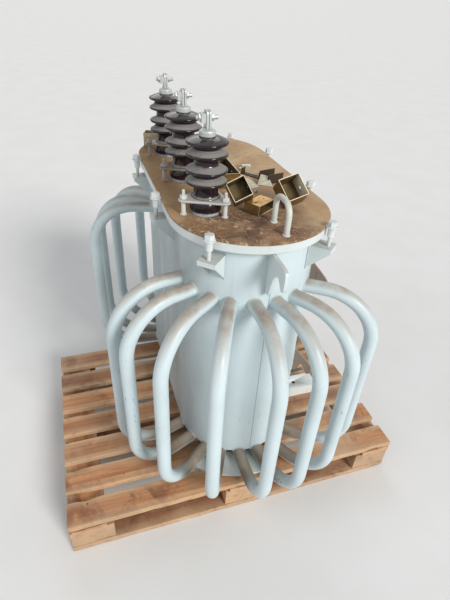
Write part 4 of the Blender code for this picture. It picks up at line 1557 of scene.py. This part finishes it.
@dataclass
class Bushing(SubAssembly):
    """One high-voltage bushing with its seal, clamping plate and terminal.

    Heights are above the foot of the seal.
    """

    word: str
    sides: int = 48
    foot_z: float = 0.0073
    shed_reach: float = 0.0567
    shed_heights: tuple[float, float, float, float] = (0.0875, 0.1180, 0.1595, 0.1900)
    neck: float = 0.0335
    root: float = 0.0378
    crown: float = 0.028
    flange_z: float = 0.0385
    flange_thick: float = 0.006
    flange_bore: float = 0.0402
    flange_edge: float = 0.0015
    flange_shrink: float = 0.982
    collar_high: float = 0.0008
    corner: float = 0.0145
    stud_at: float = 0.065
    stud_angles: Triple = (-52.0, 68.0, 188.0)
    stud_radius: float = 0.0045
    sleeve_radius: float = 0.0062
    stud_pitch: float = 0.0015
    stud_nut: Hexagon = Hexagon(0.0107, edges=(0.0014, 0.0015), crown=(0.9, 0.88))
    terminal_z: float = 0.2024
    cap_radius: float = 0.0215
    cap_high: float = 0.020
    cross_radius: float = 0.0055
    cross_z: float = 0.024
    cross_nut: Hexagon = Hexagon(0.008)
    cross_nut_at: Point = (0.0075, -0.0250)

    def origin(self) -> Vector:
        """Point on the cover under the bushing's axis."""
        low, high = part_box(f"seal_{self.word}")
        return Vector(((low[0] + high[0]) / 2, (low[1] + high[1]) / 2, low[2]))

    def shed(self, z: float, neck_low: float, neck_high: float) -> list[Point]:
        """Rounded outline of one shed, from its lower neck to its upper one.

        Args:
            z: height of its rim.
            neck_low: radius of the body below it.
            neck_high: radius of the body above it.

        Returns:
            The outline to turn.
        """
        rim = self.shed_reach
        shape = ((neck_low, -0.0155), (neck_low + 0.003, -0.0105), (0.046, -0.0060), (0.053, -0.0050),
                 (rim - 0.0012, -0.0038), (rim, -0.0008), (rim - 0.0008, 0.0014), (rim - 0.0036, 0.0030),
                 (0.044, 0.0066), (neck_high + 0.004, 0.0110), (neck_high, 0.0145))
        return [(radius, z + up) for radius, up in shape]

    def profile(self) -> list[Point]:
        """Outline of the glazed body: foot, neck in the plate's bore, two pairs of sheds, crown.

        Returns:
            The outline to turn.
        """
        z, flange, step = self.foot_z, self.flange_z, self.flange_z + self.flange_thick
        points = [(0.0, z), (0.0415, z), (0.0435, z + 0.0015), (0.044, z + 0.004), (0.044, flange - 0.010),
                  (0.0425, flange - 0.005), (0.0398, flange - 0.001), (0.0398, step + 0.001),
                  (0.0375, step + 0.003), (0.0342, step + 0.006), (self.neck, 0.056)]
        necks = ((self.neck, self.root), (self.root, self.neck), (self.neck, self.root),
                 (self.root, self.crown))
        for height, (below, above) in zip(self.shed_heights, necks):
            shed = self.shed(height, below, above)
            points += shed[1:] if below == self.root else shed
        return points[:-1] + [(0.0265, 0.2017), (0.0, 0.2020)]

    def body(self) -> None:
        """The glazed body, which stores the distance from its axis for the finish."""
        at = self.origin()
        form = Form()
        form.turned(self.profile(), self.sides, Matrix.Translation(at))
        reach = form.bm.verts.layers.float.new("reach")
        for vert in form.bm.verts:
            vert[reach] = (vert.co - at).xy.length
        self.dress(form.piece(f"insulator_{self.word}", 60.0), self.palette.glaze, "porcelain_glaze",
                   f"porcelain_{self.word}")

    def seal(self) -> None:
        """The gasket under the body."""
        form = Form()
        ring = [(0.0, 0.0), (0.0425, 0.0), (0.0435, 0.0012), (0.0435, 0.0058), (0.0425, 0.007), (0.0, 0.007)]
        form.turned(ring, self.sides, Matrix.Translation(self.origin()))
        self.dress(form.piece(f"gasket_{self.word}"), self.palette.seal, "seal_rubber", f"seal_{self.word}")

    def flange(self) -> None:
        """The three-cornered clamping plate with a raised collar round its bore."""
        corners = [arc(on_circle(self.stud_at, angle), self.corner, angle - 60, angle + 60, 8)
                   for angle in self.stud_angles]
        outer: list[Point] = []
        for here, after in zip(corners, corners[1:] + corners[:1]):
            outer.extend(here)
            (xa, ya), (xb, yb) = here[-1], after[0]
            outer.extend((xa + (xb - xa) * i / 10, ya + (yb - ya) * i / 10) for i in range(1, 10))
        bore = self.flange_bore
        inner = [(bore * x / math.hypot(x, y), bore * y / math.hypot(x, y)) for x, y in outer]

        def scaled(outline: list[Point], share: float) -> list[Point]:
            """An outline drawn nearer to its middle or farther from it."""
            return [(x * share, y * share) for x, y in outline]

        low, high = self.flange_z, self.flange_z + self.flange_thick
        collar = high + self.collar_high
        form = Form()
        form.band([(inner, low), (scaled(outer, self.flange_shrink), low), (outer, low + self.flange_edge),
                   (outer, high - self.flange_edge), (scaled(outer, self.flange_shrink), high),
                   (scaled(inner, 1.06), collar), (scaled(inner, 1.02), collar), (inner, high)],
                  Matrix.Translation(self.origin()))
        self.dress(form.piece(f"clamp_plate_{self.word}"), self.palette.flange, "flange_steel",
                   f"flange_{self.word}")

    def studs(self) -> None:
        """Three studs with nuts above the plate and sleeves that stand on the cover."""
        form = Form()
        top = self.flange_z + self.flange_thick
        sleeve_top = self.flange_z - 0.0005
        thread_z = top + 0.012
        stud = [(0.0, 0.0), (0.0090, 0.0), (0.0095, 0.0006), (0.0095, 0.0024), (0.0088, 0.003),
                (self.sleeve_radius, 0.0032), (self.sleeve_radius, sleeve_top),
                (self.stud_radius, sleeve_top), (self.stud_radius, thread_z)]
        for i in range(8):
            z = thread_z + i * self.stud_pitch
            stud.append((self.stud_radius, z + self.stud_pitch * 0.3))
            stud.append((self.stud_radius - 0.0007, z + self.stud_pitch * 0.8))
        stud += [(self.stud_radius - 0.001, top + 0.0255), (0.0, top + 0.0258)]
        form.turned(stud, 18)
        self.stud_nut.add(form, top + 0.0002)
        loose = form.piece("stud", 30.0)
        at = self.origin()
        spots = [(at + Vector((*on_circle(self.stud_at, angle), 0.0)), 0.7 * k)
                 for k, angle in enumerate(self.stud_angles)]
        studs = self.tools.set_on(f"plate_studs_{self.word}", loose, spots, self.palette.stud)
        self.dress(studs, self.palette.stud, "flange_steel")

    def cross_bolt(self) -> list[Point]:
        """Radius and height of the bolt through the terminal's clamp, threaded at its near end.

        Returns:
            The outline to turn.
        """
        radius = self.cross_radius
        shaft = [(0.0, -0.030), (radius - 0.0005, -0.030), (radius, -0.0294)]
        for i in range(6):
            shaft += [(radius, -0.0285 + i * 0.0015), (radius - 0.0007, -0.0278 + i * 0.0015)]
        return shaft + [(radius, -0.0188), (radius, 0.0255), (radius - 0.0005, 0.026), (0.0, 0.026)]

    def terminal(self) -> None:
        """Cap, clamp plates, ear and the cross bolt on top."""
        form = Form()
        place = Matrix.Translation(self.origin() + Vector((0.0, 0.0, self.terminal_z)))
        r, z = self.cap_radius, self.cap_high
        cap = [(0.0, 0.0), (r - 0.001, 0.0), (r, 0.001), (r, 0.011), (r - 0.0015, 0.0135),
               (r - 0.006, 0.0155), (0.012, 0.017), (0.012, z), (0.0, z)]
        form.turned(cap, 36, place)
        half, corner, round_z = 0.014, 0.010, z + 0.0319
        plate = [(-half, z - 0.002), (half, z - 0.002), (half, round_z)]
        plate += arc((half - corner, round_z), corner, 0, 90, 6)
        plate += arc((corner - half, round_z), corner, 90, 180, 6)
        upright = place @ basis((0, 1, 0), (0, 0, 1), (1, 0, 0), (0, 0, 0))
        gap, face = 0.0008, 0.006
        form.prism(plate, -face, -gap, upright, 0.0008)
        form.prism(plate, gap, face, upright, 0.0008)
        form.block((-0.019, -0.011, z + 0.012), (-0.0055, 0.011, z + 0.034), place, 0.0015)
        cross = (place @ Matrix.Translation((0.0, 0.0, z + self.cross_z))
                 @ Matrix.Rotation(math.radians(90), 4, "Y"))
        form.turned(self.cross_bolt(), 18, cross)
        for low in self.cross_nut_at:
            self.cross_nut.add(form, low, cross)
        self.dress(form.piece(f"terminal_clamp_{self.word}", 30.0), self.palette.terminal,
                   "terminal_metal", f"terminal_{self.word}")

    def build(self) -> None:
        """Make the bushing."""
        self.body()
        self.seal()
        self.flange()
        self.studs()
        self.terminal()


@dataclass(frozen=True)
class SheetBox:
    """One loose box: its size, its place on the cover and its turns about Z, Y and X in degrees."""

    name: str
    size: Triple
    lidded: bool
    spot: Point
    turns: Triple
    pale: float = 0.0


@dataclass
class SheetBoxes(SubAssembly):
    """Folded sheet boxes lying jumbled on the cover; a lidded one lies on its side, open to -Y."""

    sheet: float = 0.0018
    lip: float = 0.0024
    hole: float = 0.0042
    small_hole: float = 0.0024
    edge: float = 0.0005
    hole_steps: int = 20

    def boxes(self) -> list[SheetBox]:
        """The five boxes, placed from the bushing row and the cover's near end.

        Returns:
            The boxes, with their places.
        """
        low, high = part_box("seal_near")
        row = (low[0] + high[0]) / 2 - self.plan.axis_x
        edge = -(self.plan.half + self.plan.cover_radius)
        pitch = (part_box("seal_far")[0][1] - low[1]) / 2
        return [
            SheetBox("front", (0.077, 0.048, 0.029), True, (row + 0.1485, edge + 0.195), (35.7, 0.0, 0.0)),
            SheetBox("right", (0.066, 0.068, 0.054), False, (row + 0.2425, edge + 0.214),
                     (7.6, -12.6, 42.8)),
            SheetBox("middle", (0.056, 0.060, 0.045), False, (row + 0.1060, edge + 0.249),
                     (-0.6, -23.4, 48.9)),
            SheetBox("back", (0.067, 0.165, 0.045), False, (row + 0.1205, edge + 0.450),
                     (-1.5, 0.0, 0.0)),
            SheetBox("far", (0.058, 0.045, 0.050), False, (row - 0.0335, pitch + 0.1043),
                     (-20.0, 0.0, 0.0), 0.45),
        ]

    def place(self, box: SheetBox) -> Matrix:
        """Where a box lies, with its lowest corner on the cover.

        Args:
            box: the box.

        Returns:
            Its place.
        """
        turned = Matrix.Identity(4)
        for angle, axis in zip(box.turns, "ZYX"):
            turned = turned @ Matrix.Rotation(math.radians(angle), 4, axis)
        corners = [turned @ Vector((sx * box.size[0] / 2, sy * box.size[1] / 2, z))
                   for sx in (-1, 1) for sy in (-1, 1) for z in (0.0, box.size[2])]
        lift = self.plan.top + SEAT - min(corner.z for corner in corners)
        return Matrix.Translation((self.plan.axis_x + box.spot[0], box.spot[1], lift)) @ turned

    def holed(self, form: Form, wide: float, tall: float, hole: float, place: Matrix) -> None:
        """A plate with a round hole through it.

        Args:
            form: the box to add to.
            wide: its length along its own X.
            tall: its length along its own Y.
            hole: radius of the hole in its middle.
            place: where its middle goes; its thickness is along Z.
        """
        corners = [(sx * wide / 2, sy * tall / 2) for sx in (-1, 1) for sy in (-1, 1)]
        turns = sorted([math.tau * i / self.hole_steps + 0.01 for i in range(self.hole_steps)]
                       + [math.atan2(y, x) % math.tau for x, y in corners])
        inner, outer = [], []
        for turn in turns:
            x, y = math.cos(turn), math.sin(turn)
            reach = min(wide / 2 / max(abs(x), 1e-9), tall / 2 / max(abs(y), 1e-9))
            inner.append((hole * x, hole * y))
            outer.append((reach * x, reach * y))
        half = self.sheet / 2
        form.band([(inner, -half), (outer, -half), (outer, half), (inner, half)], place)

    def walls(self, box: SheetBox) -> Form:
        """Floor, walls, lid and turned-in lips of one box, in its own frame.

        Args:
            box: the box.

        Returns:
            The mesh.
        """
        form = Form()
        deep, high = box.size[1:]
        t, x, y = self.sheet, box.size[0] / 2, box.size[1] / 2
        blocks = [((-x, -y, 0.0), (x, y, t)), ((-x, y - t, 0.0004), (x, y, high)),
                  ((-x, -y, 0.0006), (-x + t, y, high))]
        blocks.append(((x - t, -y, 0.0006), (x, y, high)) if box.lidded
                      else ((-x, -y, 0.0004), (x, -y + t, high)))
        for low, top in blocks:
            form.block(low, top, bevel=self.edge)
        if box.lidded:
            for sx, hole in ((-1, self.hole), (1, self.small_hole)):
                self.holed(form, x, deep, hole, Matrix.Translation((sx * x / 2, 0.0, high - t / 2)))
        else:
            upright = Matrix.Rotation(math.radians(90), 4, "Y")
            self.holed(form, high, deep, self.hole, Matrix.Translation((x - t / 2, 0.0, high / 2)) @ upright)
        for sign in (-1, 1):
            a, b = sorted(sign * ((x if box.lidded else y) - inward) for inward in (0.0004, self.lip))
            if box.lidded:
                form.block((a, -y + 0.0002, 0.001), (b, -y + t, high - 0.001), bevel=0.0004)
            else:
                form.block((-x + 0.0004, a, high - t), (x - 0.0004, b, high - 0.0002), bevel=0.0004)
        return form

    def mark(self, form: Form, box: SheetBox) -> None:
        """Store on every face what the finish needs: looks inward, paler, edge of the mouth.

        Args:
            form: the box's mesh, in its own frame.
            box: the box.
        """
        bm = form.bm
        bmesh.ops.recalc_face_normals(bm, faces=bm.faces)
        keys = ("inside", "pale", "rim")
        for key in keys:
            bm.faces.layers.float.new(key)
        inside, pale, rim = (bm.faces.layers.float[key] for key in keys)
        wide, deep, high = box.size
        middle = Vector((0.0, 0.0, high / 2))
        for face in bm.faces:
            centre = face.calc_center_median()
            out = max(abs(centre.x) / wide, abs(centre.y) / deep, abs(centre.z - middle.z) / high)
            face[inside] = float(face.normal.dot(middle - centre) > 0.0 and out < 0.499)
            # The right box's wall with the hole is marked pale, as painted light.
            painted_lit = box.name == "right" and centre.x > wide / 2 - 2 * self.sheet
            face[pale] = 1.0 if painted_lit else box.pale
            # The rims of the mouths are marked for a painted highlight.
            face[rim] = float(centre.y < -deep / 2 + self.sheet * 0.3 if box.lidded
                              else centre.z > high - self.sheet * 0.6)

    def build(self) -> None:
        """Make the boxes."""
        for box in self.boxes():
            form = self.walls(box)
            self.mark(form, box)
            bmesh.ops.transform(form.bm, matrix=self.place(box), verts=form.bm.verts)
            self.dress(form.piece(f"sheet_box_{box.name}", 30.0), self.palette.sheet, "sheet_steel",
                       f"box_{box.name}")


@dataclass
class Rails(SubAssembly):
    """Channels laid flat under the tank, and the curved plate under its near end."""

    web: float = 0.006
    rail_edge: float = 0.0012
    hole: float = 0.018
    hole_in: float = 0.092
    hole_steps: int = 28
    foot_out: float = 0.076
    foot_in: float = 0.020
    foot_angles: Point = (-50.0, 15.0)
    foot_steps: int = 30
    foot_edge: float = 0.0015

    def channel(self, word: str) -> None:
        """One channel from its node's box, drilled near its right end.

        Args:
            word: which rail, near or far.
        """
        low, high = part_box(f"rail_{word}")
        mid, half = (low[1] + high[1]) / 2, (high[1] - low[1]) / 2
        t, z0, z1 = self.web, low[2], high[2]
        section = [(-half, z0), (-half, z1), (half, z1), (half, z0), (half - t, z0), (half - t * 1.1, z1 - t),
                   (-half + t * 1.1, z1 - t), (-half + t, z0)]
        form = Form()
        form.prism(section, low[0], high[0], basis((0, 1, 0), (0, 0, 1), (1, 0, 0), (0, mid, 0)),
                   self.rail_edge)
        rail = form.piece(f"cross_rail_{word}")
        form = Form()
        bore = [on_circle(self.hole / 2, 360.0 * i / self.hole_steps) for i in range(self.hole_steps)]
        form.prism(bore, z1 - 2 * t, z1 + t, Matrix.Translation((high[0] - self.hole_in, mid, 0)))
        drill = form.piece("drill")
        mod = rail.modifiers.new("hole", "BOOLEAN")
        mod.operation = "DIFFERENCE"
        mod.solver = "EXACT"
        mod.object = drill
        whole = rail.data
        rail.data = bpy.data.meshes.new_from_object(rail.evaluated_get(bpy.context.evaluated_depsgraph_get()))
        rail.modifiers.clear()
        bpy.data.meshes.remove(whole)
        bpy.data.objects.remove(drill, do_unlink=True)
        self.dress(rail, self.palette.rail, "rail_paint", f"rail_{word}")

    def foot(self) -> None:
        """The curved plate on the deck."""
        low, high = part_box("end_foot")
        start, stop = self.foot_angles
        outline: list[Point] = []
        for radius, order in ((self.plan.radius + self.foot_out - SEAT, 1),
                              (self.plan.radius - self.foot_in + SEAT, -1)):
            points = [self.plan.at(Side.NEAR, start + (stop - start) * i / self.foot_steps, radius)
                      for i in range(self.foot_steps + 1)]
            outline.extend((p.x, p.y) for p in points[::order])
        form = Form()
        form.prism(outline, low[2], high[2], bevel=self.foot_edge)
        self.dress(form.piece("curved_plate"), self.palette.rail, "rail_paint", "end_foot")

    def build(self) -> None:
        """Make the rails and the plate."""
        self.channel("near")
        self.channel("far")
        self.foot()


@dataclass
class Scraps(SubAssembly):
    """Small offcuts and screws left among the boxes; x counts from the tank's middle."""

    gauge: float = 0.003
    blocks: tuple[tuple[float, float, float, Triple], ...] = (
        (0.100, 0.052, -0.2, (0.015, 0.010, 0.012)),
        (0.110, -0.078, 0.3, (0.010, 0.008, 0.010)),
        (0.078, 0.046, 0.6, (0.007, 0.006, 0.006)))
    flaps: tuple[Triple, ...] = ((0.058, -0.124, 0.35), (0.104, -0.112, -0.5))
    flap: tuple[Point, ...] = ((-0.024, 0.0), (0.026, 0.0), (0.004, 0.036), (-0.020, 0.040))
    flap_thick: float = 0.0015
    flap_lean: float = 38.0
    screw_radius: float = 0.0056
    screw_spots: tuple[Triple, ...] = ((0.145, -0.163, 0.8), (0.122, -0.196, 2.1), (0.060, -0.150, 3.9),
                                       (-0.034, -0.212, 5.2), (0.118, -0.088, 1.4))

    def sheet_bits(self) -> None:
        """Three small blocks and two leaning flaps, all bright."""
        form = Form()
        for x, y, turn, size in self.blocks:
            form.block((-size[0], -size[1], 0.0), size, self.plan.on_cover(x, y, turn), 0.001)
        lean = Matrix.Rotation(math.radians(self.flap_lean), 4, "X")
        for x, y, turn in self.flaps:
            form.prism(self.flap, 0.0, self.flap_thick, self.plan.on_cover(x, y, turn) @ lean, 0.0004)
        self.dress(form.piece("offcuts", 30.0), self.palette.zinc, "sheet_steel")

    def trough(self, form: Form, place: Matrix, half: Point, high: float, axis: int) -> None:
        """A strip with a wall standing at both of its ends along one axis.

        Args:
            form: what it is added to.
            place: where it lies.
            half: half its length along X and along Y.
            high: height of the walls.
            axis: 0 for walls at the X ends, 1 for walls at the Y ends.
        """
        form.block((-half[0], -half[1], 0.0), (half[0], half[1], self.gauge), place, 0.0008)
        for sign in (-1, 1):
            low, top = [-half[0], -half[1], 0.002], [half[0], half[1], high]
            low[axis], top[axis] = sorted((sign * half[axis], sign * (half[axis] - self.gauge)))
            form.block(low, top, place, 0.0008)

    def dark_bits(self) -> None:
        """A U-shaped bar and an open channel, both dark, their dark colour painted shade among the boxes."""
        form = Form()
        self.trough(form, self.plan.on_cover(0.094, -0.018, -0.95), (0.036, 0.010), 0.020, 0)
        self.trough(form, self.plan.on_cover(0.140, -0.072, 0.25), (0.030, 0.024), 0.030, 1)
        self.dress(form.piece("dark_channels", 30.0), self.palette.dark, "sheet_steel")

    def screws(self) -> None:
        """Short screws lying on their sides."""
        form = Form()
        radius, shank = self.screw_radius, 0.0026
        profile = [(0.0, 0.0), (radius - 0.0004, 0.0), (radius, 0.0006), (radius, 0.0034),
                   (radius - 0.0006, 0.004), (shank, 0.004), (shank, 0.015), (shank - 0.0006, 0.016),
                   (0.0, 0.016)]
        lying = Matrix.Translation((0.0, 0.0, radius)) @ Matrix.Rotation(math.radians(90), 4, "Y")
        form.turned(profile, 12, lying)
        loose = form.piece("screw", 30.0)
        spots = [(self.plan.on_cover(x, y).translation, turn) for x, y, turn in self.screw_spots]
        screws = self.tools.set_on("loose_screws", loose, spots, self.palette.zinc)
        self.dress(screws, self.palette.zinc, "sheet_steel")

    def build(self) -> None:
        """Make the scraps."""
        self.sheet_bits()
        self.dark_bits()
        self.screws()


@dataclass
class Pallet(SubAssembly):
    """Deck boards, cross boards, runners with blocks, and nails."""

    half_long: float = 0.600
    thick: float = 0.022
    boards: int = 7
    board_wide: float = 0.090
    cross_wide: float = 0.120
    block_long: float = 0.140
    block_deep: float = 0.095
    block_in: float = 0.002
    joint: float = 0.0002
    step: float = 0.030
    end_inset: float = 0.0012
    wear: float = 0.0007
    chip_from: float = 0.42
    chip_deep: float = 0.018
    nail_sunk: float = 0.0012
    nail_sizes: Point = (0.9, 1.1)
    rng: random.Random = field(default_factory=lambda: random.Random(21))

    def mids(self) -> list[float]:
        """Middle of every cross board along X."""
        return [k * (2 * self.half_long - self.cross_wide) / 2 for k in (-1, 0, 1)]

    def plank(self, form: Form, low: Sequence[float], high: Sequence[float], along: int = 0) -> None:
        """One sawn board with worn arrises, small chips and a slight wave, kept inside its limits.

        Args:
            form: what it is added to.
            low: lowest corner.
            high: highest corner.
            along: 0 for a board along X, 1 for one along Y.
        """
        bm = form.bm
        tone = bm.loops.layers.float.get("tone") or bm.loops.layers.float.new("tone")
        edge = bm.verts.layers.float.get("edge") or bm.verts.layers.float.new("edge")
        shade = self.rng.random()
        shift = Vector([self.rng.uniform(-9, 9) for _ in range(3)])
        across = 1 - along
        count = max(2, round((high[along] - low[along]) / self.step))
        wide = high[across] - low[across]
        tall = high[2] - low[2]
        cut = min(0.0022, tall * 0.1)
        section = [(cut, 0.0), (wide - cut, 0.0), (wide, cut), (wide, tall - cut), (wide - cut, tall),
                   (wide * 0.66, tall), (wide * 0.33, tall), (cut, tall), (0.0, tall - cut), (0.0, cut)]
        arris = (1, 1, 1, 1, 1, 0, 0, 1, 1, 1)
        rings = []
        for i in range(count + 1):
            end = self.end_inset if i in (0, count) else 0.0
            ring = []
            for (u, w), worn in zip(section, arris):
                spot = [0.0, 0.0, low[2] + w]
                spot[along] = low[along] + (high[along] - low[along]) * i / count
                spot[across] = low[across] + u
                here = Vector(spot)
                rough = noise.noise(here * 22.0 + shift) * 0.0012 + noise.noise(here * 70.0 + shift) * 0.0006
                inset = max(0.0, rough + self.wear) + end
                hollow = noise.noise(here * 9.0 + shift * 2.0) - self.chip_from
                chip = max(0.0, hollow) * self.chip_deep * worn
                du = (wide / 2 - u) / (wide / 2)
                dw = (tall / 2 - w) / (tall / 2)
                spot[across] += (inset + chip) * (1 if du > 0 else -1) * (abs(du) > 0.9)
                spot[2] += (inset * 0.6 + chip * 0.7) * (1 if dw > 0 else -1) * (abs(dw) > 0.7)
                vert = bm.verts.new(spot)
                vert[edge] = float(worn) * 0.8
                ring.append(vert)
            rings.append(ring)
        faces = [bm.faces.new(list(reversed(rings[0]))), bm.faces.new(rings[-1])]
        for a, b in zip(rings, rings[1:]):
            for k in range(len(section)):
                m = (k + 1) % len(section)
                faces.append(bm.faces.new((a[k], a[m], b[m], b[k])))
        for face in faces:
            for loop in face.loops:
                loop[tone] = shade

    def deck(self) -> None:
        """The deck boards and the cross boards under them."""
        (_, y0, z0), (_, y1, z1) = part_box("pallet_deck")
        split = z1 - self.thick
        boards, cross = Form(), Form()
        for y in self.board_starts():
            self.plank(boards, (-self.half_long, y, split), (self.half_long, y + self.board_wide, z1))
        for mid in self.mids():
            self.plank(cross, (mid - self.cross_wide / 2, y0, z0),
                       (mid + self.cross_wide / 2, y1, split - self.joint), 1)
        self.dress(boards.piece("deck_boards", 40.0), self.palette.deck, "deck_wood", "pallet_deck")
        self.dress(cross.piece("cross_boards", 40.0), self.palette.cross, "deck_wood")

    def board_starts(self) -> list[float]:
        """The near edge of every deck board.

        Returns:
            Their places along Y.
        """
        low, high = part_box("pallet_deck")
        pitch = (high[1] - low[1] - self.board_wide) / (self.boards - 1)
        return [low[1] + i * pitch for i in range(self.boards)]

    def runner(self, word: str) -> None:
        """One bottom board with its three blocks.

        Args:
            word: which runner.
        """
        low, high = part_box(f"pallet_runner_{word}")
        board = Form()
        self.plank(board, low, (high[0], high[1], low[2] + self.thick))
        mid_y = (low[1] + high[1]) / 2
        for k in (-1, 0, 1):
            x = k * (high[0] - low[0] - self.block_long - self.block_in) / 2
            self.plank(board, (x - self.block_long / 2, mid_y - self.block_deep / 2,
                               low[2] + self.thick + self.joint),
                       (x + self.block_long / 2, mid_y + self.block_deep / 2, high[2]))
        self.dress(board.piece(f"runner_{word}", 40.0), self.palette.deck, "runner_wood",
                   f"pallet_runner_{word}")

    def nails(self) -> None:
        """Nail heads where each deck board crosses a cross board."""
        form = Form()
        form.turned([(0.0, -0.002), (0.0042, -0.002), (0.0044, -0.0006), (0.0036, 0.0), (0.0, 0.0002)], 12)
        head = form.piece("nail", 40.0)
        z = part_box("pallet_deck")[1][2] - self.nail_sunk
        spots = []
        for mid in self.mids():
            for start in self.board_starts():
                for share in (0.25, 0.75):
                    x = mid + self.rng.uniform(-0.035, 0.035)
                    y = start + self.board_wide * (share + self.rng.uniform(-0.05, 0.05))
                    spots.append((Vector((x, y, z)), self.rng.uniform(0, 6)))
        nails = self.tools.set_on("deck_nails", head, spots, self.palette.nail, *self.nail_sizes)
        self.dress(nails, self.palette.nail, "deck_wood")

    def build(self) -> None:
        """Make the deck, the cross boards, the runners and the nails."""
        self.deck()
        for word in ("near", "middle", "far"):
            self.runner(word)
        self.nails()


@dataclass(frozen=True)
class Lamp:
    """One soft distant lamp: the way to it, how wide it looks in degrees, its strength and tint."""

    name: str
    toward: Triple
    spread: float
    power: float
    tint: Colour

    def hang(self) -> None:
        """Put the lamp in the scene."""
        light = bpy.data.lights.new(self.name, "SUN")
        light.angle = math.radians(self.spread)
        light.energy = self.power
        light.color = self.tint
        put_in_scene(self.name, light).rotation_euler = Vector(self.toward).to_track_quat("Z", "Y").to_euler()


@dataclass
class Studio:
    """Floor, lamps, world and camera."""

    eye: Triple = (-0.4163, -1.3511, 1.562)
    look: Triple = (0.27887, 0.76586, -0.57938)
    roll: float = 3.50
    focal_pixels: float = 443.67
    picture_high: int = 600
    floor_half: float = 400.0
    floor_drop: float = 0.0004
    floor_colours: tuple[Colour, Colour] = (srgb(219, 218, 215), srgb(222, 221, 219))
    lamps: tuple[Lamp, ...] = (
        Lamp("key", (0.95, -2.4, 1.45), 20.0, 2.85, (1.0, 0.99, 0.975)),
        Lamp("fill", (-2.5, -0.5, 1.6), 40.0, 0.46, (0.95, 0.975, 1.0)),
        Lamp("back", (0.5, 3.0, 2.2), 40.0, 0.5, (1.0, 1.0, 1.0)))
    room_light: Colour = (0.92, 0.95, 1.0)
    room_power: float = 0.47
    shown: Colour = (0.765, 0.765, 0.755)

    def floor(self) -> None:
        """Pale floor that keeps the object's shadow."""
        form = Form()
        corners = ((-1, -1), (1, -1), (1, 1), (-1, 1))
        spots = [(x * self.floor_half, y * self.floor_half, -self.floor_drop) for x, y in corners]
        form.bm.faces.new([form.bm.verts.new(spot) for spot in spots])
        g = Graph("studio_floor", self.floor_colours[0])
        g.lay(self.floor_colours[1], g.cloud(3.0, 0.3, 0.7, 6.0))
        ground = form.piece("studio_floor", None)
        coat(ground, g.finish(0.9, Specular_IOR_Level=0.2))

    def camera(self) -> None:
        """Camera at the photograph's viewing angle."""
        data = bpy.data.cameras.new("view")
        data.sensor_fit = "VERTICAL"
        data.sensor_height = 36.0
        data.lens = self.focal_pixels / self.picture_high * data.sensor_height
        data.clip_start = 0.02
        ahead = Vector(self.look).normalized()
        right = ahead.cross(Vector((0, 0, 1))).normalized()
        up = right.cross(ahead)
        roll = math.radians(self.roll)
        right, up = right * math.cos(roll) + up * math.sin(roll), up * math.cos(roll) - right * math.sin(roll)
        holder = put_in_scene("view", data)
        holder.matrix_world = basis(right, up, -ahead, self.eye)
        bpy.context.scene.camera = holder

    def world(self) -> None:
        """Plain light from all round; the camera and reflections see a pale background."""
        world = bpy.data.worlds.new("studio")
        bpy.context.scene.world = world
        world.use_nodes = True
        tree = NodeTree(world.node_tree)
        plain = tree.tree.nodes["Background"]
        tree.feed(plain.inputs["Color"], self.room_light)
        tree.feed(plain.inputs["Strength"], self.room_power)
        shown = tree.node("ShaderNodeBackground", {"Color": self.shown, "Strength": 1.0})
        path = tree.node("ShaderNodeLightPath")
        seen = path.outputs["Is Camera Ray"]
        for ray in ("Is Glossy Ray", "Is Transmission Ray"):
            inputs = {0: seen, 1: path.outputs[ray]}
            seen = tree.node("ShaderNodeMath", inputs, operation="MAXIMUM").outputs[0]
        blend = tree.node("ShaderNodeMixShader", {0: seen, 1: plain.outputs[0], 2: shown.outputs[0]})
        tree.feed(tree.tree.nodes["World Output"].inputs["Surface"], blend.outputs[0])

    def build(self) -> None:
        """Set the stage."""
        self.floor()
        for lamp in self.lamps:
            lamp.hang()
        self.world()
        self.camera()
        bpy.context.scene.view_settings.view_transform = "Standard"


def main() -> None:
    """Build and dress every sub-assembly, in order."""
    logging.basicConfig(level=logging.INFO, format="%(name)s %(message)s")
    palette, tools, plan = Palette(), Tools(), Plan.read()
    kit = (plan, tools, palette)
    tank = Tank(*kit)
    parts: list[SubAssembly] = [Pallet(*kit), Rails(*kit), tank, CoverClamps(*kit, tank), LiftingEye(*kit)]
    parts += [TubeFan(*kit, side, fan) for side, fan in ((Side.NEAR, NEAR_FAN), (Side.FAR, FAR_FAN))]
    parts += [Bushing(*kit, word) for word in ("near", "middle", "far")]
    parts += [SheetBoxes(*kit), Scraps(*kit)]
    for part in parts:
        part.build()
    Studio().build()


if __name__ == "__main__":
    main()
